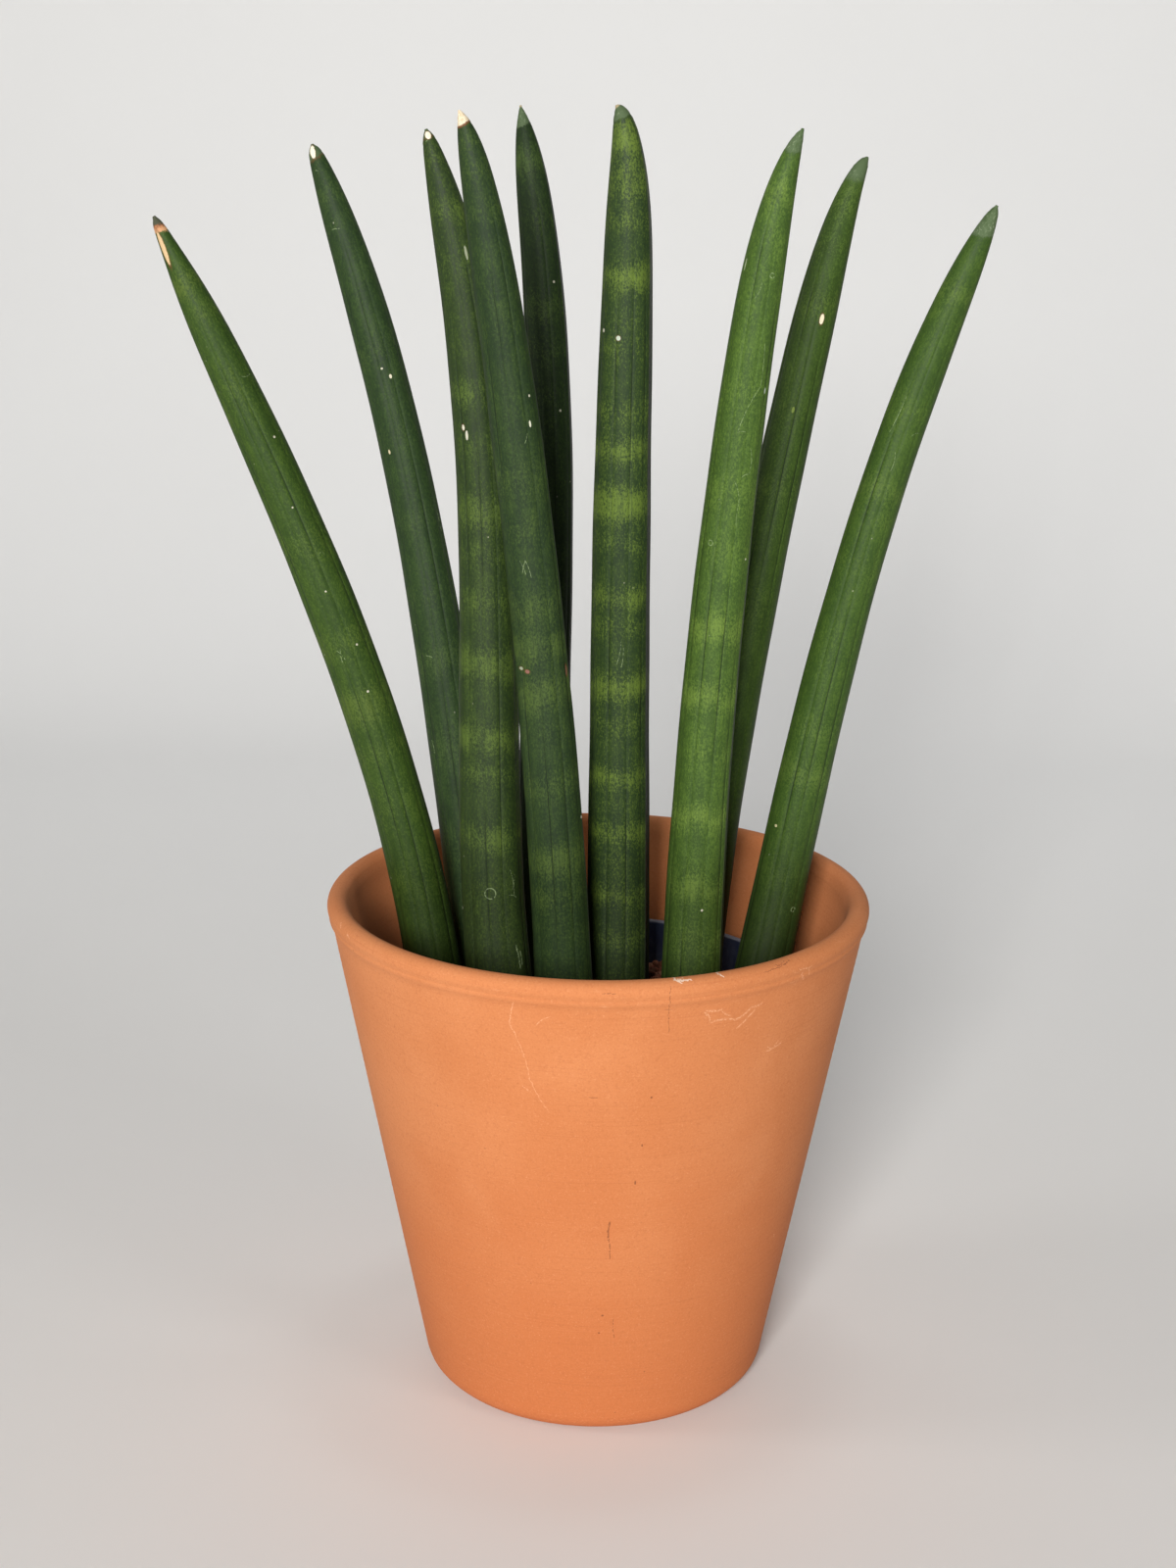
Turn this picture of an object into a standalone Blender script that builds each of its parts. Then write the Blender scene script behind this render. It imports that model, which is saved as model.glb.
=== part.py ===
# Cylindrical snake plant in a plastic nursery pot, standing inside a conical clay cover pot.
# Dimensions below are millimetres: every mesh is made in millimetres and scaled to metres as it is finished.
# The origin is the middle of the cover pot's flat underside. +Z is up, and the plant's front faces -Y.

import math
import random
from collections import namedtuple

import bmesh
import bpy
from mathutils import Vector

MM = 0.001
AIR = 0.3                     # gap kept between pieces that touch

# Cover pot: a plain cone of clay with a rounded lip
COVER_HEIGHT = 166.6
COVER_LIP_RADIUS = 88.0       # outermost point of the lip
COVER_NECK_RADIUS = 86.4      # wall just under the lip
COVER_NECK_Z = 158.6
COVER_FOOT_RADIUS = 56.1      # where the wall's slope would meet the table
COVER_WALL = 6.2
COVER_FLOOR = 10.0
COVER_FOOT_ROUND = 8.0
COVER_INNER_ROUND = 3.0
COVER_LIP_ROLL = 3.4          # radius of the roll along the lip
COVER_LIP_FLARE = 0.6         # the inner face spreads by this much just below the roll
COVER_COLLAR = (0.9, 1.0)     # the low collar under the lip: beyond the neck, and above it
COVER_SIDES = 64

# Nursery pot: thin moulded plastic with a small outward rim, a foot ring and drainage holes
NURSERY_RIM_Z = 134.0
NURSERY_RIM_RADIUS = 67.0
NURSERY_RIM_HEIGHT = 5.0
NURSERY_RIM_OVERHANG = 1.0
NURSERY_BASE_RADIUS = 48.5
NURSERY_WALL = 1.2
NURSERY_FOOT_RING = 3.0
NURSERY_FOOT_STEP = 3.0       # the floor stands this far above the foot ring
NURSERY_SIDES = 48
DRAIN_RADIUS = 4.5
DRAIN_COUNT = 8
DRAIN_CIRCLE_RADIUS = 33.0

# Substrate: baked clay granules, larger than life, over a packed bed
SOIL_Z = 119.0
GRANULE_SPACING = 8.9
GRANULE_RADIUS = (5.0, 6.1)   # smallest and largest
GRANULE_LIFT = (-1.5, 0.5)    # how far a granule's middle lies above the bed
GRANULE_JITTER = 0.8
GRANULE_WALL_CLEARANCE = 0.2
GRANULE_SEED = 7

# Rhizome: three crowns on one creeping stem, with thick roots
CROWN_TOP_Z = 96.0
CROWN_HEIGHT = 17.0
CROWN_BULGE = (16.0, 23.5)    # half widths across and along the fan
CROWNS = {"left": (-39.5, 4.0), "middle": (-7.0, 3.0), "right": (37.0, 2.0)}
STEM_RADIUS = 6.0
STEM_DEPTH = 0.6              # depth of the stem's middle, as a share of the crown's height
ROOT_RADIUS = 1.8
ROOT_TIP_RADIUS = 0.9
ROOT_LENGTH = 46.0
ROOT_SPREAD = 9.0             # how far out a root bends
ROOT_START = 0.55             # where it leaves the crown, and how far it bends on, as shares of the spread
ROOT_BEND = 0.75
ROOTS_PER_CROWN = 4

# Leaves: every leaf leaves the soil at GROUND_Z. Leans are millimetres sideways for a millimetre of rise.
GROUND_Z = 123.0
LEAF_SIDES = 20
LEAF_RINGS = 16
GROOVE_DEPTH = 0.055          # of the leaf's radius
FOOT_SLIMMING = 0.84          # radius where the leaf joins its crown, against its radius at the soil
FOOT_DRAW = 0.25              # how far the buried foot is drawn towards its crown
POINT_RADIUS = 0.5            # the end of a tip
RING_CROWDING = 1.6           # above 1 the rings close up towards the tip

Leaf = namedtuple("Leaf", ("name", "crown", "foot", "foot_lean", "tip", "tip_lean", "bow",
                           "radius", "slimming", "point", "fullness", "tip_side"))
LEAVES = (
    # First line: name, crown, foot (x, y), lean at the foot.
    # Second line: tip (x, y, z), lean at the tip, sideways bow at half height.
    # Third line: radius at the soil, slimming towards the tip, length of the point, how sharp the point is (lower
    # is blunter), and where it sits (-1 left edge, 1 right edge).
    Leaf("leaf_left_outer", "left", (-52.5, 2), (-0.09, 0.0),
         (-134.9, -6, 378.8), (-0.46, -0.05), 0.0,
         9.1, 0.20, 34, 0.75, 0.0),
    Leaf("leaf_left_back", "left", (-37.4, 20), (-0.13, 0.08),
         (-93.4, 46, 399.1), (-0.39, 0.12), 0.0,
         9.6, 0.33, 22, 0.65, 0.0),
    Leaf("leaf_left_inner", "left", (-30, -10), (-0.13, 0.0),
         (-53.3, -6, 404.6), (-0.30, 0.0), 0.3,
         10.9, 0.36, 22, 0.75, 0.0),
    Leaf("leaf_middle_left", "middle", (-10, -14), (-0.04, -0.05),
         (-38.7, -34, 410.1), (-0.16, -0.1), 0.0,
         9.7, 0.32, 22, 0.65, -0.5),
    Leaf("leaf_middle_back", "middle", (-17.5, 17), (-0.05, 0.06),
         (-27.2, 45, 411.5), (-0.19, 0.1), 0.3,
         9.1, 0.29, 20, 0.75, 0.0),
    Leaf("leaf_middle_right", "middle", (6.7, 5), (-0.01, 0.0),
         (10.2, -8, 411.9), (0.08, -0.05), 0.9,
         10.5, 0.26, 26, 0.55, -1.0),
    Leaf("leaf_right_inner", "right", (30.5, -12), (0.0, 0.0),
         (51, -22, 405.9), (0.13, -0.05), 0.0,
         10.0, 0.33, 22, 0.75, 0.9),
    Leaf("leaf_right_back", "right", (31.5, 14), (0.09, 0.06),
         (76, 42, 396.9), (0.17, 0.12), -1.2,
         9.0, 0.24, 22, 0.7, 1.0),
    Leaf("leaf_right_outer", "right", (51.5, 3), (0.18, 0.0),
         (118.1, 4, 383.8), (0.45, 0.0), -0.2,
         9.3, 0.34, 19, 0.75, 0.0),
)

# Colours (linear), roughness
MATERIALS = {
    "terracotta": ((0.62, 0.21, 0.085, 1.0), 0.85),
    "navy_plastic": ((0.035, 0.055, 0.13, 1.0), 0.45),
    "clay_granules": ((0.24, 0.085, 0.05, 1.0), 0.95),
    "rhizome": ((0.65, 0.42, 0.20, 1.0), 0.7),
    "leaf_dark": ((0.035, 0.095, 0.045, 1.0), 0.45),
    "leaf_mid": ((0.055, 0.15, 0.05, 1.0), 0.45),
    "leaf_bright": ((0.10, 0.22, 0.055, 1.0), 0.45),
}
LEAF_MATERIAL = {
    "leaf_left_outer": "leaf_mid",
    "leaf_middle_right": "leaf_mid",
    "leaf_right_inner": "leaf_bright",
    "leaf_right_outer": "leaf_mid",
}


def clear_scene():
    for thing in list(bpy.data.objects):
        bpy.data.objects.remove(thing, do_unlink=True)


def new_collection(name):
    collection = bpy.data.collections.new(name)
    bpy.context.scene.collection.children.link(collection)
    return collection


def material(name):
    found = bpy.data.materials.get(name)
    if found:
        return found
    made = bpy.data.materials.new(name)
    made.use_nodes = True
    colour, roughness = MATERIALS[name]
    shader = made.node_tree.nodes["Principled BSDF"]
    shader.inputs["Base Color"].default_value = colour
    shader.inputs["Roughness"].default_value = roughness
    shader.inputs["Metallic"].default_value = 0.0
    made.diffuse_color = colour
    return made


def paint(thing, material_name):
    thing.data.materials.clear()
    thing.data.materials.append(material(material_name))


def new_object(name, mesh, collection):
    thing = bpy.data.objects.new(name, mesh)
    collection.objects.link(thing)
    return thing


def mesh_from(bm, name):
    """Scale the millimetre mesh to metres and hand it over."""
    bmesh.ops.scale(bm, vec=(MM, MM, MM), verts=bm.verts)
    bmesh.ops.recalc_face_normals(bm, faces=bm.faces)
    mesh = bpy.data.meshes.new(name)
    bm.to_mesh(mesh)
    bm.free()
    return mesh


def shade(thing, angle=math.radians(32)):
    thing.data.shade_smooth()
    thing.data.set_sharp_from_angle(angle=angle)


def bake(thing):
    """Replace an object's mesh by the one that its modifiers make."""
    graph = bpy.context.evaluated_depsgraph_get()
    mesh = bpy.data.meshes.new_from_object(thing.evaluated_get(graph))
    thing.modifiers.clear()
    thing.data = mesh


def arc(centre, radius, start, end, count):
    """Points (r, z) on an arc, angles in degrees, both ends included."""
    points = []
    for i in range(count):
        angle = math.radians(start + (end - start) * i / (count - 1))
        points.append((centre[0] + radius * math.cos(angle), centre[1] + radius * math.sin(angle)))
    return points


def turned(name, profile, sides, collection):
    """Spin a profile of (r, z) points about Z with a Screw modifier."""
    bm = bmesh.new()
    verts = [bm.verts.new((r, 0.0, z)) for r, z in profile]
    for a, b in zip(verts, verts[1:]):
        bm.edges.new((a, b))
    bmesh.ops.scale(bm, vec=(MM, MM, MM), verts=bm.verts)
    mesh = bpy.data.meshes.new(name)
    bm.to_mesh(mesh)
    bm.free()
    thing = new_object(name, mesh, collection)
    screw = thing.modifiers.new("turn", "SCREW")
    screw.steps = screw.render_steps = sides
    screw.use_merge_vertices = True
    screw.merge_threshold = 0.00002
    return thing


def boolean(thing, operand, operation):
    """Join or cut with every object of a collection."""
    modifier = thing.modifiers.new(operation.lower(), "BOOLEAN")
    modifier.operation = operation
    modifier.operand_type = "COLLECTION"
    modifier.collection = operand
    modifier.solver = "EXACT"


def empty_collection(collection):
    for thing in list(collection.objects):
        bpy.data.objects.remove(thing, do_unlink=True)
    bpy.data.collections.remove(collection)


def loft(name, centres, sections, collection, level_start=False):
    """Skin rings of (x, y) offsets, each set square to the line of centres, and close both ends."""
    bm = bmesh.new()
    rings = []
    for i, (centre, section) in enumerate(zip(centres, sections)):
        before = centres[max(i - 1, 0)]
        after = centres[min(i + 1, len(centres) - 1)]
        along = Vector((0, 0, 1)) if level_start and i == 0 else (after - before).normalized()
        across = (Vector((1, 0, 0)) - along * along.x).normalized()
        deep = along.cross(across)
        rings.append([bm.verts.new(centre + across * x + deep * y) for x, y in section])
    for lower, upper in zip(rings, rings[1:]):
        for k in range(len(lower)):
            j = (k + 1) % len(lower)
            bm.faces.new((lower[k], lower[j], upper[j], upper[k]))
    bm.faces.new(reversed(rings[0]))
    bm.faces.new(rings[-1])
    return new_object(name, mesh_from(bm, name), collection)


def circle(radius, sides, groove=0.0):
    """A round section whose every second point lies in a groove."""
    points = []
    for k in range(sides):
        angle = 2 * math.pi * k / sides
        r = radius * (1 - groove * (k % 2))
        points.append((r * math.cos(angle), r * math.sin(angle)))
    return points


def nursery_inner_radius(z):
    """Inside radius of the nursery pot's wall at height z."""
    base_z = COVER_FLOOR + AIR
    share = (z - base_z) / (NURSERY_RIM_Z - base_z)
    wall_top = NURSERY_RIM_RADIUS - NURSERY_RIM_OVERHANG
    return NURSERY_BASE_RADIUS + (wall_top - NURSERY_BASE_RADIUS) * share - NURSERY_WALL


def cover_pot(parts):
    slope = (COVER_NECK_RADIUS - COVER_FOOT_RADIUS) / COVER_NECK_Z
    lean = math.degrees(math.atan(slope))

    def outer(z):
        return COVER_FOOT_RADIUS + slope * z

    foot_round_r = outer(COVER_FOOT_ROUND) - COVER_FOOT_ROUND / math.cos(math.radians(lean))
    inner_round_z = COVER_FLOOR + COVER_INNER_ROUND
    inner_round_r = outer(inner_round_z) - COVER_WALL - COVER_INNER_ROUND / math.cos(math.radians(lean))
    inner_neck = COVER_NECK_RADIUS - COVER_WALL
    crest_z = COVER_HEIGHT - COVER_LIP_ROLL
    crest_r = COVER_LIP_RADIUS - COVER_LIP_ROLL
    profile = [(0.0, COVER_FLOOR)]
    profile += arc((inner_round_r, inner_round_z), COVER_INNER_ROUND, -90, -lean, 4)
    profile += [(inner_neck, COVER_NECK_Z), (inner_neck + COVER_LIP_FLARE, crest_z)]
    profile += arc((crest_r, crest_z), COVER_LIP_ROLL, 150, -25, 7)
    profile += [(COVER_NECK_RADIUS + COVER_COLLAR[0], COVER_NECK_Z + COVER_COLLAR[1]),
                (COVER_NECK_RADIUS, COVER_NECK_Z)]
    profile += arc((foot_round_r, COVER_FOOT_ROUND), COVER_FOOT_ROUND, -lean, -90, 5)
    profile += [(0.0, 0.0)]
    pot = turned("cover_pot", profile, COVER_SIDES, parts)
    paint(pot, "terracotta")
    shade(pot)


def nursery_pot(parts):
    base_z = COVER_FLOOR + AIR
    floor_under = base_z + NURSERY_FOOT_STEP
    floor_top = floor_under + NURSERY_WALL
    inner_rim = nursery_inner_radius(NURSERY_RIM_Z)
    inner_floor = nursery_inner_radius(floor_top)
    rim_under = NURSERY_RIM_Z - NURSERY_RIM_HEIGHT
    wall_under_rim = nursery_inner_radius(rim_under) + NURSERY_WALL
    rim_edge = NURSERY_RIM_OVERHANG / 2
    profile = [
        (0.0, floor_top),
        (inner_floor, floor_top),
        (inner_rim, NURSERY_RIM_Z - rim_edge),
        (inner_rim + rim_edge, NURSERY_RIM_Z),
        (NURSERY_RIM_RADIUS - rim_edge, NURSERY_RIM_Z),
        (NURSERY_RIM_RADIUS, NURSERY_RIM_Z - rim_edge),
        (wall_under_rim + NURSERY_RIM_OVERHANG, rim_under),
        (wall_under_rim, rim_under),
        (NURSERY_BASE_RADIUS, base_z),
        (NURSERY_BASE_RADIUS - NURSERY_FOOT_RING, base_z),
        (NURSERY_BASE_RADIUS - NURSERY_FOOT_RING - 1.0, floor_under),
        (0.0, floor_under),
    ]
    pot = turned("nursery_pot", profile, NURSERY_SIDES, parts)
    drains = new_collection("drain_cutters")
    places = [(0.0, 0.0)]
    for k in range(DRAIN_COUNT):
        angle = 2 * math.pi * (k + 0.5) / DRAIN_COUNT
        places.append((DRAIN_CIRCLE_RADIUS * math.cos(angle), DRAIN_CIRCLE_RADIUS * math.sin(angle)))
    for k, (x, y) in enumerate(places):
        bm = bmesh.new()
        bmesh.ops.create_cone(bm, cap_ends=True, segments=10, radius1=DRAIN_RADIUS, radius2=DRAIN_RADIUS,
                              depth=4 * NURSERY_WALL)
        bmesh.ops.translate(bm, vec=(x, y, floor_under + NURSERY_WALL / 2), verts=bm.verts)
        new_object(f"drain_{k}", mesh_from(bm, "drain"), drains)
    boolean(pot, drains, "DIFFERENCE")
    bake(pot)
    empty_collection(drains)
    paint(pot, "navy_plastic")
    shade(pot)
    return floor_top


def leaf_foot(leaf):
    """The buried foot's end: down on the crown's top, drawn a little towards the crown's middle."""
    crown = Vector(CROWNS[leaf.crown])
    place = Vector(leaf.foot).lerp(crown, FOOT_DRAW)
    return Vector((place.x, place.y, CROWN_TOP_Z + AIR))


def leaf_line(leaf):
    """Centres and radii of a leaf's rings, from its foot on the crown to its point."""
    root = Vector((*leaf.foot, GROUND_Z))
    tip = Vector(leaf.tip)
    rise = tip.z - root.z
    start_pull = Vector((*leaf.foot_lean, 1.0)) * rise
    end_pull = Vector((*leaf.tip_lean, 1.0)) * rise
    centres = []
    for i in range(LEAF_RINGS):
        s = i / (LEAF_RINGS - 1)
        t = 1 - (1 - s) ** RING_CROWDING
        centre = ((2 * t**3 - 3 * t**2 + 1) * root + (t**3 - 2 * t**2 + t) * start_pull
                  + (3 * t**2 - 2 * t**3) * tip + (t**3 - t**2) * end_pull)
        centres.append(centre + Vector((leaf.bow * math.sin(math.pi * t), 0, 0)))
    lengths = [0.0]
    for upper, lower in zip(reversed(centres), reversed(centres[:-1])):
        lengths.append(lengths[-1] + (upper - lower).length)
    to_tip = lengths[::-1]
    radii = []
    for i, left in enumerate(to_tip):
        body = leaf.radius * (1 - leaf.slimming * (1 - left / to_tip[0]))
        radius = max(body * (1 - math.exp(-left / leaf.point)) ** leaf.fullness, POINT_RADIUS)
        centres[i] = centres[i] + Vector((leaf.tip_side * (body - radius), 0, 0))
        radii.append(radius)
    return [leaf_foot(leaf)] + centres, [leaf.radius * FOOT_SLIMMING] + radii


def leaves(parts):
    for leaf in LEAVES:
        centres, radii = leaf_line(leaf)
        sections = [circle(radius, LEAF_SIDES, GROOVE_DEPTH) for radius in radii]
        blade = loft(leaf.name, centres, sections, parts, level_start=True)
        paint(blade, LEAF_MATERIAL.get(leaf.name, "leaf_dark"))
        shade(blade, math.radians(60))


def leaf_hole(leaf, cutters):
    """A plain round hole for a leaf, wider by the gap, from the crown's top to above the granules."""
    centres, radii = leaf_line(leaf)
    wide = [radius + AIR for radius in radii[:4]]
    line = centres[:4]
    line[0] = line[0] - Vector((0, 0, AIR))
    sections = [circle(radius, LEAF_SIDES) for radius in wide]
    loft(leaf.name + "_hole", line, sections, cutters, level_start=True)


def crown(name, place, widen, collection):
    """A rounded lump whose top is cut flat for the leaves' feet."""
    bm = bmesh.new()
    bmesh.ops.create_uvsphere(bm, u_segments=14, v_segments=8, radius=1.0)
    size = (CROWN_BULGE[0] + widen, CROWN_BULGE[1] + widen, CROWN_HEIGHT + widen)
    bmesh.ops.scale(bm, vec=size, verts=bm.verts)
    bmesh.ops.translate(bm, vec=(*place, CROWN_TOP_Z - CROWN_HEIGHT / 2), verts=bm.verts)
    cut = bmesh.ops.bisect_plane(bm, geom=bm.verts[:] + bm.edges[:] + bm.faces[:], clear_outer=True,
                                 plane_co=(0, 0, CROWN_TOP_Z + widen), plane_no=(0, 0, 1))
    rim = [item for item in cut["geom_cut"] if isinstance(item, bmesh.types.BMEdge)]
    bmesh.ops.edgenet_fill(bm, edges=rim)
    return new_object(name, mesh_from(bm, name), collection)


def root(place, angle, widen, collection):
    """A tapered root that leaves the crown's underside and spreads as it goes down."""
    outwards = Vector((math.cos(angle), math.sin(angle), 0)) * ROOT_SPREAD
    start = Vector((*place, CROWN_TOP_Z - CROWN_HEIGHT + 2))
    shares = (0, 0.35, 0.7, 1)
    down = Vector((0, 0, -ROOT_LENGTH))
    line = [start + outwards * (ROOT_START + ROOT_BEND * share**2) + down * share for share in shares]
    line[-1].z -= widen
    radii = [ROOT_RADIUS + (ROOT_TIP_RADIUS - ROOT_RADIUS) * share + widen for share in shares]
    loft("root", line, [circle(radius, 5) for radius in radii], collection)


def creeping_stem(start, end, widen, collection):
    """A straight run of rhizome between the middles of two crowns."""
    level = Vector((0, 0, CROWN_TOP_Z - STEM_DEPTH * CROWN_HEIGHT))
    run = Vector((*end, 0)) - Vector((*start, 0))
    bm = bmesh.new()
    bmesh.ops.create_cone(bm, cap_ends=True, segments=10, radius1=STEM_RADIUS + widen,
                          radius2=STEM_RADIUS + widen, depth=run.length)
    turn = Vector((0, 0, 1)).rotation_difference(run)
    bmesh.ops.rotate(bm, cent=(0, 0, 0), matrix=turn.to_matrix(), verts=bm.verts)
    bmesh.ops.translate(bm, vec=Vector((*start, 0)) + run / 2 + level, verts=bm.verts)
    new_object("stem", mesh_from(bm, "stem"), collection)


def rhizome(name, widen, collection):
    """Crowns, creeping stem and roots as one solid, every size widened alike."""
    pieces = new_collection(name + "_pieces")
    places = list(CROWNS.values())
    solid = crown(name, places[0], widen, collection)
    for place in places[1:]:
        crown("crown", place, widen, pieces)
    for start, end in zip(places, places[1:]):
        creeping_stem(start, end, widen, pieces)
    for place in places:
        for k in range(ROOTS_PER_CROWN):
            root(place, 2 * math.pi * (k + 0.5) / ROOTS_PER_CROWN, widen, pieces)
    boolean(solid, pieces, "UNION")
    bake(solid)
    empty_collection(pieces)
    return solid


def granule(x, y, z, radius, rng, collection):
    turn = Vector([rng.uniform(-1, 1) for _ in range(3)]).to_track_quat("X", "Z")
    bm = bmesh.new()
    bmesh.ops.create_icosphere(bm, subdivisions=1, radius=radius)
    bmesh.ops.rotate(bm, cent=(0, 0, 0), matrix=turn.to_matrix(), verts=bm.verts)
    bmesh.ops.translate(bm, vec=(x, y, z), verts=bm.verts)
    new_object("granule", mesh_from(bm, "granule"), collection)


def granules(collection):
    """Faceted granules in jittered rings out to the pot's wall, none of them inside a leaf."""
    rng = random.Random(GRANULE_SEED)
    reach = nursery_inner_radius(SOIL_Z) - AIR - GRANULE_WALL_CLEARANCE
    ring_count = round(reach / GRANULE_SPACING)
    for ring in range(ring_count):
        share = ring / (ring_count - 1)
        around = max(1, round(2 * math.pi * share * (reach - GRANULE_RADIUS[1]) / GRANULE_SPACING))
        start = rng.uniform(0, 2 * math.pi)
        for k in range(around):
            radius = rng.uniform(*GRANULE_RADIUS)
            distance = share * (reach - radius) - rng.uniform(0, GRANULE_JITTER)
            angle = start + 2 * math.pi * k / around
            place = Vector((distance * math.cos(angle), distance * math.sin(angle)))
            height = SOIL_Z + rng.uniform(*GRANULE_LIFT)
            if all((place - Vector(leaf.foot)).length > leaf.radius - 1 for leaf in LEAVES):
                granule(place.x, place.y, height, radius, rng, collection)


def keep_largest_piece(thing):
    """Drop the loose scraps that a cut leaves behind."""
    bm = bmesh.new()
    bm.from_mesh(thing.data)
    unseen = set(bm.verts)
    groups = []
    while unseen:
        todo = [unseen.pop()]
        group = set(todo)
        while todo:
            for edge in todo.pop().link_edges:
                for vert in edge.verts:
                    if vert in unseen:
                        unseen.discard(vert)
                        group.add(vert)
                        todo.append(vert)
        groups.append(group)
    groups.sort(key=len)
    for group in groups[:-1]:
        bmesh.ops.delete(bm, geom=list(group), context="VERTS")
    bm.to_mesh(thing.data)
    bm.free()


def substrate(parts, nursery_floor):
    bottom = nursery_floor + AIR
    profile = [
        (0.0, SOIL_Z),
        (nursery_inner_radius(SOIL_Z) - AIR, SOIL_Z),
        (nursery_inner_radius(bottom) - AIR, bottom),
        (0.0, bottom),
    ]
    bed = turned("substrate", profile, NURSERY_SIDES, parts)
    bake(bed)
    repeats = new_collection("granules")
    granules(repeats)
    boolean(bed, repeats, "UNION")
    bake(bed)
    empty_collection(repeats)
    cutters = new_collection("soil_cutters")
    for leaf in LEAVES:
        leaf_hole(leaf, cutters)
    rhizome("rhizome_hollow", AIR, cutters)
    boolean(bed, cutters, "DIFFERENCE")
    bake(bed)
    empty_collection(cutters)
    keep_largest_piece(bed)
    paint(bed, "clay_granules")
    shade(bed, math.radians(20))


def build():
    clear_scene()
    parts = new_collection("cylindrical_snake_plant")
    cover_pot(parts)
    nursery_floor = nursery_pot(parts)
    stock = rhizome("rhizome", 0.0, parts)
    paint(stock, "rhizome")
    shade(stock)
    leaves(parts)
    substrate(parts, nursery_floor)
    for thing in parts.objects:
        print(thing.name, len(thing.data.polygons))


build()
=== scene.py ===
# %% [markdown]
# # A potted cylindrical snake plant
#
# The object is a young snake plant of the kind whose leaves are round spears. It grows in a thin blue
# nursery pot, and that pot stands inside a plain clay cover pot. This lesson starts from the imported CAD
# model, which gives every piece its place and size, and builds a finer piece for each of its nodes but
# the buried rhizome: a turned pot with a rolled lip, clay granules, and nine grooved and mottled leaves.

import math
from collections import namedtuple

import bmesh
import bpy
import numpy as np
from mathutils import Matrix, Vector


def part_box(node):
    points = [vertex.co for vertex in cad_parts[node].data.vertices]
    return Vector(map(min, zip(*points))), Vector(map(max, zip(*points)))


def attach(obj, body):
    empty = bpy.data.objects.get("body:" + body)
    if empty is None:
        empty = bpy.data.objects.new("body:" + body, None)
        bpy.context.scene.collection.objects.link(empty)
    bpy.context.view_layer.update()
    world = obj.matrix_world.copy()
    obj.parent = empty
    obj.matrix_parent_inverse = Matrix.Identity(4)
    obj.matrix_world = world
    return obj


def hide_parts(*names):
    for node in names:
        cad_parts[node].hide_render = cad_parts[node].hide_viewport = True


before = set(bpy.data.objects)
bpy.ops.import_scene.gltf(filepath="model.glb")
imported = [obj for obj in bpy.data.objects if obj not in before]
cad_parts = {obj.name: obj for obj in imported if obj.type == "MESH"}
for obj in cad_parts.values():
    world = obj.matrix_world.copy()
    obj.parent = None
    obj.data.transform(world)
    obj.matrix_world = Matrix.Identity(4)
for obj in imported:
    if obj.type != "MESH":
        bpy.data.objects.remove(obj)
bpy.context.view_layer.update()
MM = 0.001
print("CAD nodes:", sorted(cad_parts))

# %% [markdown]
# ## The camera
#
# The photograph was taken from a little above the pot, about as far away as an arm reaches. A long side
# of 36 mm and a 54 mm lens give the same angle of view, and the tilt, turn and roll come from the ellipse
# of the pot's lip and the slope of its two sides. Depth of field stays off, because the object is also
# looked at from other angles.

# %% Camera at the photograph's viewing angle
CAMERA_PLACE = (0.0, -0.7269, 0.4119)
CAMERA_DOWN = math.radians(16.11)
CAMERA_TURN = math.radians(0.29)
CAMERA_ROLL = math.radians(0.53)

camera_data = bpy.data.cameras.new("camera")
camera_data.sensor_width = 36.0
camera_data.lens = 54.0
camera_data.clip_end = 20.0
camera = bpy.data.objects.new("camera", camera_data)
bpy.context.scene.collection.objects.link(camera)
aim = Matrix.Rotation(CAMERA_TURN, 4, "Z") @ Matrix.Rotation(math.pi / 2 - CAMERA_DOWN, 4, "X")
camera.matrix_world = Matrix.Translation(CAMERA_PLACE) @ aim @ Matrix.Rotation(CAMERA_ROLL, 4, "Z")
bpy.context.scene.camera = camera
print("camera", [round(value, 3) for value in camera.matrix_world.translation])

# %% [markdown]
# ## Shader maths in plain Python
#
# A material is a little program drawn as nodes. Placing each node by hand hides the arithmetic, so two
# small classes do it. `Value` wraps one output socket, and `+`, `-`, `*` and `/` on it add Math nodes.
# `Finish` holds one material, and its `node` method makes any other node from its type, its settings and
# the values of its sockets.

# %% A value in a material's node tree
class Value:
    """One output socket. Python arithmetic on it adds Math nodes."""

    def __init__(self, finish, socket):
        self.finish = finish
        self.socket = socket

    def math(self, operation, *values):
        return self.finish.node("Math", {"operation": operation}, dict(enumerate(values)))

    def __add__(self, other):
        return self.math("ADD", self, other)

    def __radd__(self, other):
        return self.math("ADD", other, self)

    def __sub__(self, other):
        return self.math("SUBTRACT", self, other)

    def __rsub__(self, other):
        return self.math("SUBTRACT", other, self)

    def __mul__(self, other):
        return self.math("MULTIPLY", self, other)

    def __rmul__(self, other):
        return self.math("MULTIPLY", other, self)

    def __truediv__(self, other):
        return self.math("DIVIDE", self, other)

    def __rtruediv__(self, other):
        return self.math("DIVIDE", other, self)

    def __pow__(self, other):
        return self.math("POWER", self, other)

    def times_plus(self, factor, other):
        return self.math("MULTIPLY_ADD", self, factor, other)

    def size(self):
        return self.math("ABSOLUTE", self)

    def least(self, other):
        return self.math("MINIMUM", self, other)

    def most(self, other):
        return self.math("MAXIMUM", self, other)

    def rise(self, low, high):
        """0 below low, 1 above high, and a smooth step between. A low above high makes a fall."""
        return self.finish.node("MapRange", {"interpolation_type": "SMOOTHSTEP", "clamp": True},
                                {"Value": self, "From Min": low, "From Max": high})


print("Value: arithmetic on sockets makes Math nodes")

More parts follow.
